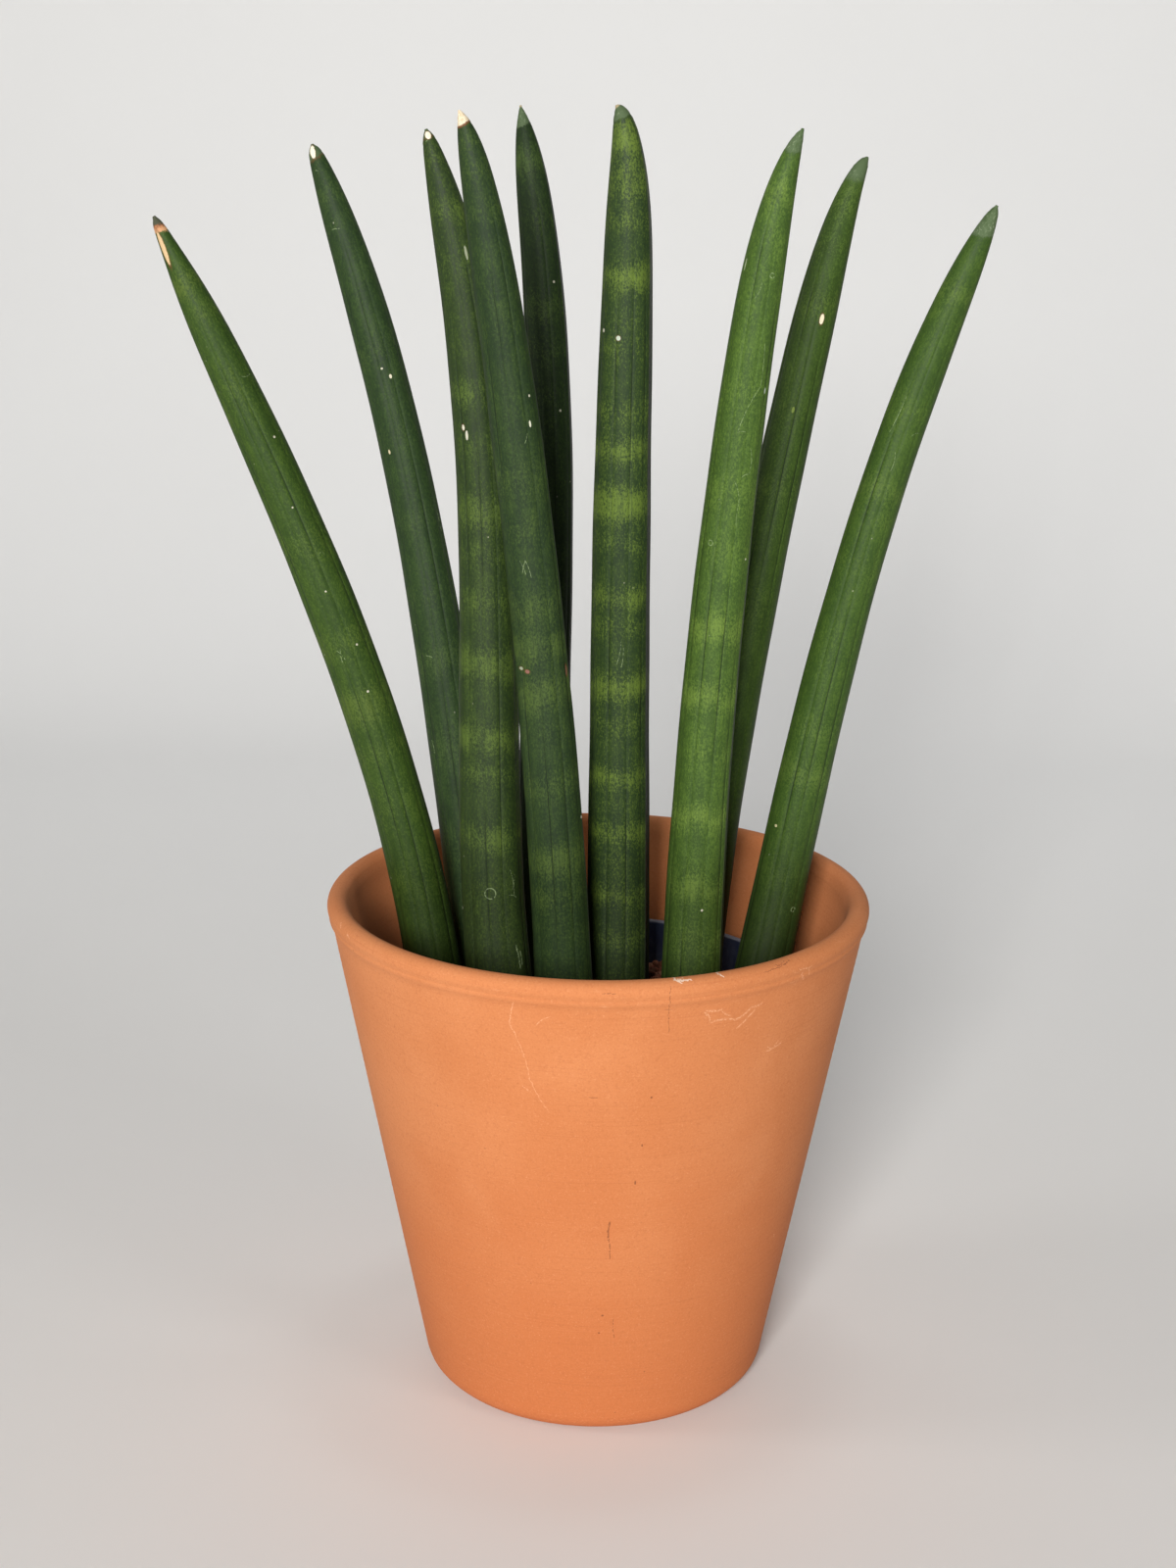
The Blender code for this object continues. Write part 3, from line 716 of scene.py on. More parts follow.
def leaf_line(leaf):
    """Centres and radii along a leaf, from its buried foot to its point, in millimetres."""
    t = (1 - (1 - np.linspace(0, 1, LEAF_RINGS)) ** RING_CROWDING)[:, None]
    root = np.array([*leaf.foot, GROUND_Z])
    tip = np.array(leaf.tip, dtype=float)
    rise = tip[2] - root[2]
    start_pull = np.array([*leaf.foot_lean, 1.0]) * rise
    end_pull = np.array([*leaf.tip_lean, 1.0]) * rise
    centres = ((2 * t**3 - 3 * t**2 + 1) * root + (t**3 - 2 * t**2 + t) * start_pull
               + (3 * t**2 - 2 * t**3) * tip + (t**3 - t**2) * end_pull)
    centres[:, 0] += leaf.bow * np.sin(math.pi * t[:, 0])
    steps = np.linalg.norm(np.diff(centres, axis=0), axis=1)
    to_tip = np.concatenate([np.cumsum(steps[::-1])[::-1], [0.0]])
    body = leaf.radius * (1 - leaf.slimming * (1 - to_tip / to_tip[0]))
    radii = np.maximum(body * (1 - np.exp(-to_tip / leaf.point)) ** leaf.fullness, POINT_RADIUS)
    centres[:, 0] += leaf.tip_side * (body - radii)
    radii += leaf.blunt * to_tip / BLUNT_REACH * np.exp(1 - to_tip / BLUNT_REACH)
    return add_foot(leaf, centres, radii, to_tip)


def add_foot(leaf, centres, radii, to_tip):
    """Continue a leaf down through the substrate to where its CAD node ends."""
    low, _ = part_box(leaf.node)
    foot_z = low[2] / MM
    slope = (centres[1] - centres[0]) / (centres[1][2] - centres[0][2])
    depth = np.linspace(GROUND_Z - foot_z, 0, FOOT_RINGS, endpoint=False)[:, None]
    towards = np.array([-math.copysign(FOOT_INWARD, leaf.foot[0]), 0.0, 0.0])
    buried = centres[0] - slope * depth + towards * depth
    slim = 1 - (1 - FOOT_SLIMMING) * depth[:, 0] / depth[0, 0]
    return (np.vstack([buried, centres]), np.concatenate([radii[0] * slim, radii]),
            np.concatenate([to_tip[0] + depth[:, 0], to_tip]))


centres, radii, to_tip = leaf_line(LEAVES[5])
print("middle right leaf:", round(float(to_tip[FOOT_RINGS]), 1), "mm above the soil")

# %% [markdown]
# A groove is a narrow dip in the ring. It fades in below the tip at its own height, wavers a little, and
# its mask is kept on the points, so that the material can paint shade into it exactly where the relief is.
# Between two grooves the skin swells very slightly, which is what breaks the long highlight on a real leaf
# into separate streaks.

# %% Rings of a leaf with grooves, ribs and the channel
GROOVE_HALF_WIDTH = 0.42
GROOVE_DEPTH = 0.18
RIB_SWELL = 0.10
CHANNEL_HALF_WIDTH = 3.0
CHANNEL_DEPTH = 0.75
MARGIN_HALF_WIDTH = 0.38
MARGIN_HEIGHT = 0.16
CHANNEL_POINTS = (-4.2, -3.6, -3.3, -3.0, -2.7, -2.2, -1.1, 0.0, 1.1, 2.2, 2.7, 3.0, 3.3, 3.6, 4.2)
CHANNEL_CLEAR = math.radians(33)
GROOVE_COUNT = 9
FIRST_GROOVE = math.radians(34)
GROOVE_JITTER = 0.16
GROOVE_POINTS = (-1.0, -0.55, 0.0, 0.55, 1.0)
BAND_EDGE = 6.0
KNOB_DEPTH = 0.13
KNOB_REACH = 7.0
POINT_GAP = 0.95
SKIN_SHARE = 0.85
SKIN_INSET = 0.02


def groove_places(channel, rng):
    """Angles of the grooves: jittered steps round the leaf, from one side of the channel to the other."""
    last = GROOVE_COUNT - 1
    step = (2 * math.pi - 2 * FIRST_GROOVE) / last
    places = []
    for k in range(GROOVE_COUNT):
        jitter = rng.uniform(-GROOVE_JITTER, GROOVE_JITTER)
        places.append(channel + FIRST_GROOVE + step * (k + jitter * (0 < k < last)))
    return places


def ring_angles(grooves, channel, radius):
    """Angles of the points round a ring, crowded at the grooves and across the channel."""
    angles = [channel + offset / radius for offset in CHANNEL_POINTS]
    for groove in grooves:
        angles += [groove + offset * GROOVE_HALF_WIDTH / radius for offset in GROOVE_POINTS]
    full = 2 * math.pi
    angles = sorted(angle % full for angle in angles)
    filled = []
    for a, b in zip(angles, angles[1:] + [angles[0] + full]):
        filled.append(a)
        gap = b - a
        extra = int(gap * radius / POINT_GAP)
        filled += [a + gap * (i + 1) / (extra + 1) for i in range(extra)]
    return np.array(filled)


def around_gap(angle, other):
    """The signed angle from other to angle, between -180 and 180 degrees."""
    return (angle - other + math.pi) % (2 * math.pi) - math.pi


def band_values(to_tip, slot, bands, rng):
    """How pale each point is: every strip slides each band a little and shows it more or less."""
    strips = slot.max() + 1
    slide = rng.uniform(-1.1, 1.1, strips)[slot][None, :]
    ripple = 0.5 * np.sin(to_tip / 3.1)[:, None] * np.sin(slot * 1.7)[None, :]
    level = to_tip[:, None] + slide + ripple
    paleness = np.zeros_like(level)
    for start, end, strength in bands:
        begun = np.clip((level - start) / BAND_EDGE + 0.5, 0, 1)
        not_over = np.clip((end - level) / BAND_EDGE + 0.5, 0, 1)
        uneven = rng.uniform(0.62, 1.08, strips)[slot][None, :]
        paleness = np.maximum(paleness, begun * not_over * strength * uneven)
    return paleness


def tip_knobs(angles, to_tip, seed):
    """How much of the radius is left where the hard tip is lumpy; 1 below it."""
    phases = np.random.default_rng(seed + 100).uniform(0, 2 * math.pi, 3)
    around, down = angles[None, :], to_tip[:, None]
    lumps = (np.sin(3 * around + 2.1 * down + phases[0]) + 0.7 * np.sin(5 * around - 3.1 * down + phases[1])
             + 0.8 * np.sin(2 * around + 4.3 * down + phases[2])) / 2.5
    return 1 - KNOB_DEPTH * (0.5 + 0.5 * lumps) * np.clip(1 - down / KNOB_REACH, 0, 1)


def groove_relief(leaf, grooves, angles, to_tip, along, rng):
    """How far every point lies in a groove, from 0 to 1, and how deep the grooves cut it in."""
    shade = np.zeros((len(to_tip), len(angles)))
    dip = np.zeros_like(shade)
    start = rng.uniform(8, 46, GROOVE_COUNT)
    for k, groove in enumerate(grooves):
        offset = around_gap(angles, groove)[None, :] * leaf.radius * SKIN_SHARE / GROOVE_HALF_WIDTH
        bowl = np.clip(1 - offset**2, 0, 1)
        fade = np.clip((to_tip - start[k]) / 26, 0, 1)[:, None]
        waver = np.sin(along / rng.uniform(14, 30) + rng.uniform(0, 6))
        strength = fade * (0.72 + 0.28 * waver)[:, None]
        shade = np.maximum(shade, bowl * strength)
        dip -= GROOVE_DEPTH * bowl * strength
    return shade, dip


def strips_between(grooves, angles):
    """Which strip between two grooves each point is in, and how far across it, from 0 to 1."""
    full = 2 * math.pi
    edges = np.sort(np.array(grooves) % full)
    slot = np.searchsorted(edges, angles % full) % GROOVE_COUNT
    previous = edges[slot - 1]
    width = (edges[slot] - previous) % full
    return slot, ((angles - previous) % full) / width


def channel_relief(leaf, channel, angles, to_tip):
    """The channel's trough and its margins, from 0 to 1, and how strongly they show at each level."""
    beside = around_gap(angles, channel)[None, :] * leaf.radius * SKIN_SHARE
    low_down = np.clip(to_tip / 60, 0, 1)[:, None] ** 0.7
    trough = np.clip(1 - (beside / CHANNEL_HALF_WIDTH) ** 2, 0, 1)
    margin = np.clip(1 - ((np.abs(beside) - CHANNEL_HALF_WIDTH) / MARGIN_HALF_WIDTH) ** 2, 0, 1)
    return trough, margin, low_down


def ring_axes(centres):
    """For every ring of a leaf, two directions at right angles to its line."""
    tangent = np.gradient(centres, axis=0)
    tangent /= np.linalg.norm(tangent, axis=1)[:, None]
    tangent[0] = (0, 0, 1)
    across = np.array([1.0, 0, 0]) - tangent * tangent[:, :1]
    across /= np.linalg.norm(across, axis=1)[:, None]
    return across, np.cross(tangent, across)


def leaf_points(leaf, look, bands):
    """Points and the values that the skin's material reads."""
    rng = np.random.default_rng(look.seed)
    centres, radii, to_tip = leaf_line(leaf)
    along = to_tip[0] - to_tip
    channel = math.radians(look.channel)
    grooves = groove_places(channel, rng)
    angles = ring_angles(grooves, channel, leaf.radius * SKIN_SHARE)
    shade, dip = groove_relief(leaf, grooves, angles, to_tip, along, rng)
    slot, share = strips_between(grooves, angles)
    in_channel = np.abs(around_gap(angles, channel)) < CHANNEL_CLEAR
    swell = RIB_SWELL * np.sin(math.pi * share) * ~in_channel
    dip = dip + swell[None, :] * np.clip(to_tip / 40, 0, 1)[:, None]
    trough, margin, low_down = channel_relief(leaf, channel, angles, to_tip)
    dip = dip + low_down * (MARGIN_HEIGHT * margin - CHANNEL_DEPTH * trough)
    uneven = 0.07 * np.sin(along / 17 + look.seed) + 0.05 * np.sin(along / 7.3 + 2 * look.seed)
    section = radii + uneven * np.clip(to_tip / 20, 0, 1)
    scale = np.clip(radii / leaf.radius, 0, 1)[:, None]
    r = (section[:, None] + dip * scale - SKIN_INSET) * tip_knobs(angles, to_tip, look.seed)
    twist = np.radians(look.twist) * (along / along[-1])[:, None]
    theta = angles[None, :] + twist
    x, y = r * np.cos(theta), r * np.sin(theta)
    across, deep = ring_axes(centres)
    points = (centres[:, None] + r[..., None] * (np.cos(theta)[..., None] * across[:, None]
                                                 + np.sin(theta)[..., None] * deep[:, None]))
    values = {
        "straight": np.stack([x, y, np.broadcast_to(along[:, None], r.shape)], axis=-1),
        "band": band_values(to_tip, slot, bands, rng),
        "groove": shade,
        "margin": margin * low_down,
        "channel": np.sqrt(trough) * low_down,
        "to_tip": np.broadcast_to(to_tip[:, None], r.shape),
    }
    return points, values


print("each leaf has", GROOVE_COUNT, "grooves and one channel")

# %% [markdown]
# The skin is a satin wax over dark green flesh. Level bands of paler, yellower green cross the leaf, and
# they are broken at every groove, as if each strip between two grooves had slid a little. A band isn't
# painted solid: it is a crowd of tiny pale dashes drawn out along the leaf, which thin out at its edges.
# Where the bands lie is different on each leaf, so every leaf has its own list of them, as start and end
# below the tip in millimetres and how pale they are. On top come the marks of a lived life: dry or grey
# tips, corky spots, and hair-fine pale scratches. Everything is measured on the leaf laid out straight,
# so the pattern bends with the leaf.

# %% Where the pale bands of each leaf lie
BANDS = {
    "leaf_left_outer": (
        (18, 25, 0.85), (29, 35, 0.45), (47, 66, 0.25), (103, 113, 0.40), (136, 146, 0.50),
        (156, 168, 0.80), (174, 181, 0.60), (190, 202, 0.30), (214, 230, 0.30),
    ),
    "leaf_left_back": (
        (7, 11, 0.35), (14, 20, 0.40), (24, 27, 0.35), (64, 73, 0.40), (91, 98, 0.20), (119, 127, 0.30),
        (145, 151, 0.35), (164, 174, 0.50), (190, 203, 0.45), (224, 238, 0.30),
    ),
    "leaf_left_inner": (
        (6, 11, 0.65), (21, 27, 0.55), (36, 42, 0.30), (75, 81, 0.70), (93, 98, 0.30), (110, 119, 0.85),
        (125, 130, 0.40), (139, 145, 0.60), (157, 166, 0.95), (181, 189, 0.90), (194, 199, 0.70),
        (214, 221, 0.80), (232, 236, 0.15),
    ),
    "leaf_middle_left": (
        (7, 11, 0.55), (14, 19, 0.45), (26, 31, 0.40), (58, 64, 0.15), (101, 112, 0.40), (118, 124, 0.40),
        (141, 151, 0.65), (154, 163, 0.75), (168, 178, 0.80), (184, 188, 0.40), (198, 208, 0.60),
        (223, 233, 0.90), (236, 243, 0.50),
    ),
    "leaf_middle_back": (
        (14, 21, 0.90), (33, 38, 0.55), (59, 67, 0.65), (74, 79, 0.55), (88, 92, 0.30),
    ),
    "leaf_middle_right": (
        (4, 14, 1.00), (14, 27, 0.62), (31, 35, 0.75), (46, 53, 0.95), (60, 64, 0.25), (66, 75, 0.20),
        (87, 93, 0.45), (98, 105, 0.85), (113, 123, 0.90), (127, 134, 0.40), (145, 151, 0.85),
        (154, 160, 0.45), (173, 181, 0.95), (185, 192, 0.35), (203, 210, 0.80), (214, 218, 0.30),
        (222, 229, 0.80), (233, 236, 0.40), (244, 250, 0.95), (259, 266, 0.50), (275, 279, 0.30),
    ),
    "leaf_right_inner": (
        (15, 22, 0.65), (28, 33, 0.30), (72, 82, 0.25), (101, 112, 0.40), (120, 128, 0.30),
        (144, 153, 0.80), (166, 174, 0.85), (186, 192, 0.40), (206, 213, 0.85), (229, 237, 0.80),
        (247, 257, 0.50),
    ),
    "leaf_right_back": (
        (8, 20, 0.50), (25, 31, 0.35), (43, 50, 0.55), (66, 70, 0.20), (79, 83, 0.40), (101, 110, 0.35),
        (140, 150, 0.30),
    ),
    "leaf_right_outer": (
        (25, 31, 0.80), (33, 37, 0.35), (64, 69, 0.45), (89, 95, 0.70), (98, 102, 0.40), (112, 119, 0.35),
        (142, 150, 0.20), (166, 174, 0.40), (181, 190, 0.65), (216, 222, 0.35),
    ),
}
print("pale bands:", sum(len(bands) for bands in BANDS.values()))

# %% Colours of each leaf
Look = namedtuple("Look", "channel twist deep green pale tip cap shade seed")
LOOKS = {
    "leaf_left_outer": Look(150, 6, (0.022, 0.050, 0.006), (0.046, 0.090, 0.010), (0.086, 0.133, 0.020),
                            "burnt", 4.4, 0.50, 11),
    "leaf_left_back": Look(12, -4, (0.015, 0.033, 0.010), (0.031, 0.064, 0.014), (0.062, 0.102, 0.025),
                           "scarred", 4.6, 0.30, 12),
    "leaf_left_inner": Look(8, 3, (0.017, 0.033, 0.009), (0.035, 0.063, 0.011), (0.085, 0.135, 0.022),
                            "scarred", 2.6, 0.33, 13),
    "leaf_middle_left": Look(5, 4, (0.014, 0.031, 0.010), (0.030, 0.059, 0.013), (0.069, 0.113, 0.022),
                             "dry", 3.7, 0.15, 14),
    "leaf_middle_back": Look(-2, -3, (0.010, 0.023, 0.006), (0.021, 0.044, 0.009), (0.054, 0.093, 0.018),
                             "grey", 6.2, 0.35, 15),
    "leaf_middle_right": Look(-11, 2, (0.017, 0.036, 0.011), (0.036, 0.067, 0.013), (0.123, 0.188, 0.027),
                              "grey", 3.6, 0.42, 16),
    "leaf_right_inner": Look(-8, 3, (0.039, 0.080, 0.013), (0.077, 0.145, 0.021), (0.139, 0.222, 0.036),
                             "blotched", 6.4, 0.48, 17),
    "leaf_right_back": Look(165, 4, (0.031, 0.063, 0.009), (0.056, 0.108, 0.015), (0.107, 0.171, 0.027),
                            "soft", 6.4, 0.60, 18),
    "leaf_right_outer": Look(170, -5, (0.031, 0.068, 0.010), (0.058, 0.113, 0.015), (0.099, 0.162, 0.027),
                             "blotched", 9.6, 0.72, 19),
}
CHANNEL_PAINTED_REFLECTION = (0.028, 0.027, 0.028)
MARGIN_PAINTED_SHEEN = (0.072, 0.070, 0.070)
GROOVE_PAINTED_SHADE = (0.006, 0.014, 0.004)
FOOT_PAINTED_SHADE = (0.005, 0.006, 0.001)
CAP_GREY = (0.095, 0.140, 0.066)
CAP_PALE = (0.235, 0.290, 0.185)
CAP_DRY = (0.66, 0.50, 0.31)
CAP_CREAM = (0.84, 0.74, 0.55)
CAP_BROWN = (0.165, 0.060, 0.022)
CORK = (0.56, 0.54, 0.42)
WAX_SCRATCH = (0.33, 0.42, 0.22)
print("looks for", len(LOOKS), "leaves")

# %% Spots, scratches and rings on each leaf
SPOTS = {
    "leaf_left_outer": (
        Spot(-119, 9.6, 5.2, 0.85, (0.66, 0.47, 0.26)), Spot(-43, 73.4, 0.4, 0.4, CORK),
        Spot(-75, 95.1, 0.3, 0.3, CORK), Spot(-79, 123.0, 0.3, 0.3, CORK),
        Spot(-57, 142.2, 0.35, 0.35, CORK), Spot(-70, 157.4, 0.4, 0.4, CORK),
    ),
    "leaf_left_back": (
        Spot(-108, 2.6, 2.1, 0.95, (0.90, 0.84, 0.66)), Spot(-72, 76.5, 0.7, 0.45, (0.74, 0.70, 0.52)),
        Spot(-89, 73.5, 0.35, 0.4, CORK), Spot(-121, 99.7, 0.75, 0.4, (0.62, 0.53, 0.34)),
    ),
    "leaf_left_inner": (
        Spot(-84, 1.9, 1.1, 0.95, (0.88, 0.80, 0.62)), Spot(-125, 88.2, 0.9, 0.55, (0.68, 0.67, 0.54)),
        Spot(-117, 90.6, 1.5, 0.5, (0.55, 0.53, 0.43)), Spot(-60, 37.0, 2.2, 0.45, (0.30, 0.33, 0.22)),
        Spot(-166, 242.1, 0.4, 0.4, CORK),
    ),
    "leaf_middle_left": (
        Spot(-52, 90.0, 1.0, 0.36, (0.70, 0.70, 0.55)), Spot(-43, 81.9, 0.4, 0.35, CORK),
        Spot(-121, 165.6, 0.6, 0.8, (0.26, 0.12, 0.09)), Spot(-138, 164.9, 0.5, 0.9, (0.30, 0.35, 0.25)),
        Spot(-25, 167.2, 1.6, 0.55, (0.16, 0.08, 0.045)), Spot(-18, 215.5, 0.5, 0.4, CORK),
    ),
    "leaf_middle_back": (
        Spot(-57, 55.4, 0.4, 0.4, CORK), Spot(-60, 95.6, 0.4, 0.4, CORK),
    ),
    "leaf_middle_right": (
        Spot(-108, 67.0, 0.75, 0.7, (0.50, 0.57, 0.46)), Spot(-150, 65.3, 0.6, 0.5, CORK),
    ),
    "leaf_right_inner": (
        Spot(-41, 75.0, 1.1, 0.4, (0.40, 0.46, 0.38)), Spot(-157, 39.7, 1.8, 0.26, (0.40, 0.45, 0.28)),
        Spot(-40, 126.4, 0.35, 0.3, CORK), Spot(-79, 239.9, 0.4, 0.4, CORK),
    ),
    "leaf_right_back": (
        Spot(-74, 51.2, 1.65, 0.72, (0.90, 0.80, 0.58)), Spot(-95, 80.7, 1.0, 0.45, (0.20, 0.27, 0.05)),
    ),
    "leaf_right_outer": (
        Spot(-135, 203.6, 0.5, 0.5, (0.55, 0.50, 0.28)),
    ),
}
STROKES = {
    "leaf_left_outer": (
        Stroke(-54, 52.8, -21, 53.4, -0.5, 0.12), Stroke(-63, 112.0, -50, 112.6, 1.3, 0.12),
        Stroke(-104, 142.0, -93, 145.5, 0.2, 0.14), Stroke(-101, 146.0, -95, 141.5, 0.2, 0.13),
    ),
    "leaf_left_back": (
        Stroke(-121, 27.5, -92, 28.0, 0.1, 0.16), Stroke(-120, 8.4, -106, 8.8, 0.1, 0.26),
        Stroke(-143, 195.0, -139, 199.5, 0.3, 0.13), Stroke(-24, 121.0, -22, 128.0, 0.1, 0.13),
        Stroke(-122, 166.8, -104, 167.8, 0.2, 0.16),
    ),
    "leaf_left_inner": (
        Stroke(-118, 3.5, -58, 2.9, 0.2, 0.16), Stroke(-53, 228.0, -46, 237.0, 0.4, 0.12),
        Stroke(-43, 230.0, -50, 235.0, 0.3, 0.12), Stroke(-58, 236.5, -41, 238.0, 0.4, 0.12),
        Stroke(-51, 253.5, -45, 262.0, 0.2, 0.34), Stroke(-42, 256.0, -40, 261.0, 0.1, 0.24),
    ),
    "leaf_middle_left": (
        Stroke(-62, 92.6, -71, 95.4, 0.1, 0.16), Stroke(-113, 130.6, -102, 135.0, 0.2, 0.15),
        Stroke(-101, 130.5, -91, 136.2, 0.3, 0.15), Stroke(-109, 134.4, -98, 130.2, 0.2, 0.13),
    ),
    "leaf_middle_right": (
        Stroke(-89, 161.0, -97, 168.5, 0.3, 0.12), Stroke(-84, 163.0, -88, 169.5, 0.2, 0.12),
    ),
    "leaf_right_inner": (
        Stroke(-94, 43.5, -106, 48.5, 0.5, 0.10), Stroke(-62, 61.0, -57, 73.5, 0.3, 0.13),
        Stroke(-57, 73.5, -98, 88.0, -0.9, 0.14), Stroke(-98, 87.8, -80, 87.4, 0.3, 0.11),
        Stroke(-63, 92.3, -59, 100.0, 0.7, 0.17), Stroke(-59, 100.0, -75, 101.0, -0.3, 0.17),
        Stroke(-90, 102.5, -75, 109.0, 0.5, 0.12), Stroke(-75, 109.0, -75, 116.0, -0.3, 0.10),
    ),
    "leaf_right_outer": (
        Stroke(-118, 62.0, -128, 74.0, 0.3, 0.13), Stroke(-70, 73.0, -45, 71.5, 0.5, 0.12),
        Stroke(-96, 79.0, -92, 85.0, 0.5, 0.14),
    ),
}
HALOS = {
    "leaf_left_inner": (Halo(-92, 235.3, 1.75, 0.22),),
    "leaf_right_inner": (Halo(-70, 41.2, 0.70, 0.20), Halo(-128, 122.1, 0.80, 0.20)),
    "leaf_right_outer": (Halo(-55, 230.1, 0.80, 0.22),),
}
mark_lists = [marks for table in (SPOTS, STROKES, HALOS) for marks in table.values()]
print("marks on the leaves:", sum(len(marks) for marks in mark_lists))

# %% Finish of the leaf skin
SHADE_TOP = 205.0
SHADE_LOW = 140.0
RIM_WIDTH = 0.30
SMALLEST_RIMMED = 0.5


def leaf_finish(leaf, look):
    skin = Finish("skin of " + leaf.node.replace("_", " "))
    straight = skin.attribute("straight", out="Vector")
    groove = skin.attribute("groove")
    band = skin.attribute("band")
    to_tip = skin.attribute("to_tip")
    x, y, _ = skin.split(straight)
    angle = y.math("ARCTAN2", y, x) * DEGREES
    arc = (x * x + y * y) ** 0.5 / DEGREES
    moved = skin.shift(straight, (look.seed * 37.0, look.seed * 11.0, look.seed * 53.0))

    cloud = skin.noise(skin.stretch(moved, (0.22, 0.22, 0.11)), 1.0, 3.0, 0.6) - 0.5
    stipple = skin.noise(skin.stretch(moved, (1.9, 1.9, 1.2)), 1.0, 3.0, 0.75) - 0.5
    fibres = skin.noise(skin.stretch(moved, (1.3, 1.3, 0.03)), 1.0, 3.0, 0.55)
    _, _, height_up = skin.split(skin.place())

    colour = skin.mix((cloud * 1.3 + stipple * 3.0).rise(-0.5, 0.5), look.deep, look.green)
    paleness = band + cloud * 0.9 + stipple * 3.3
    colour = skin.mix(paleness.rise(0.05, 1.25) * 0.95, colour, look.pale)
    colour = skin.mix(fibres.rise(0.52, 0.36) * 0.35, colour, look.deep)
    # Painted shade in the grooves: a near-black line laid over the groove's relief.
    colour = skin.mix(groove.rise(0.60, 0.98) * 0.85, colour, GROOVE_PAINTED_SHADE)
    # Painted reflection: a dark grey strip in the channel, and paler grey lines of painted sheen on its
    # margins.
    colour = skin.mix(skin.attribute("channel") * 0.6, colour, CHANNEL_PAINTED_REFLECTION)
    colour = skin.mix(skin.attribute("margin") * 0.7, colour, MARGIN_PAINTED_SHEEN)
    # Painted shade: the skin darkens towards the soil, where the pot and the other leaves shade the feet.
    colour = skin.mix(height_up.rise(SHADE_TOP, SHADE_LOW) * look.shade, colour, FOOT_PAINTED_SHADE)

    dots = skin.node("TexVoronoi", {"feature": "F1"},
                     {"Vector": skin.stretch(moved, (1.0, 1.0, 0.7)), "Scale": 0.21, "Randomness": 1.0})
    flecks = dots.rise(0.055, 0.025) * cloud.rise(0.02, 0.10)
    colour = skin.mix(flecks * 0.5, colour, CORK)

    colour, cap = tip_colour(skin, colour, look, to_tip, stipple * 2.0 + cloud, cloud, angle)
    for spot in SPOTS.get(leaf.node, ()):
        reach = spot_reach(spot, angle, to_tip, arc, stipple * 0.5)
        rim = RIM_WIDTH / min(spot.half_width, spot.half_length)
        if spot.half_width > SMALLEST_RIMMED:
            colour = skin.mix(reach.rise(1.1 + rim, 1.0) * 0.5, colour, CAP_BROWN)
        colour = skin.mix(reach.rise(1.08, 0.86), colour, spot.colour)
    leaf_arc = leaf.radius * SKIN_SHARE / DEGREES
    marked_angle = angle + stipple * 2.0
    marked_level = to_tip + stipple * 0.3
    lines = stroke_masks(STROKES.get(leaf.node, ()), marked_angle, marked_level, leaf_arc)
    lines += [halo_mask(halo, marked_angle, marked_level, arc) for halo in HALOS.get(leaf.node, ())]
    if lines:
        colour = skin.mix(most_of(lines) * stipple.rise(-0.12, 0.04) * 0.55, colour, WAX_SCRATCH)
    height = stipple * 0.6 + fibres * 0.4
    roughness = 0.60 + stipple * 0.5 + cap * 0.08
    return skin.surface(Base_Color=colour, Roughness=roughness, Normal=skin.bump(height, 0.05),
                        Specular_IOR_Level=0.24)


print("leaf finish ready")

# %% [markdown]
# No two tips are alike. Five leaves end in a hard grey-green cap with paler blotches and a dark line
# where it meets the skin. The middle left one has dried to a ragged cream crust, the two to its left
# carry a cream scar on an otherwise green tip, and the outer left one was burnt: a dark point over an
# orange and tan ring.

# %% Colours of the tips
CAP_EDGES = {"soft": 2.2, "blotched": 0.5}
BURNT_POINT = (0.070, 0.075, 0.045)
BURNT_RING = (0.60, 0.32, 0.16)
BURNT_EDGE = (0.30, 0.09, 0.03)


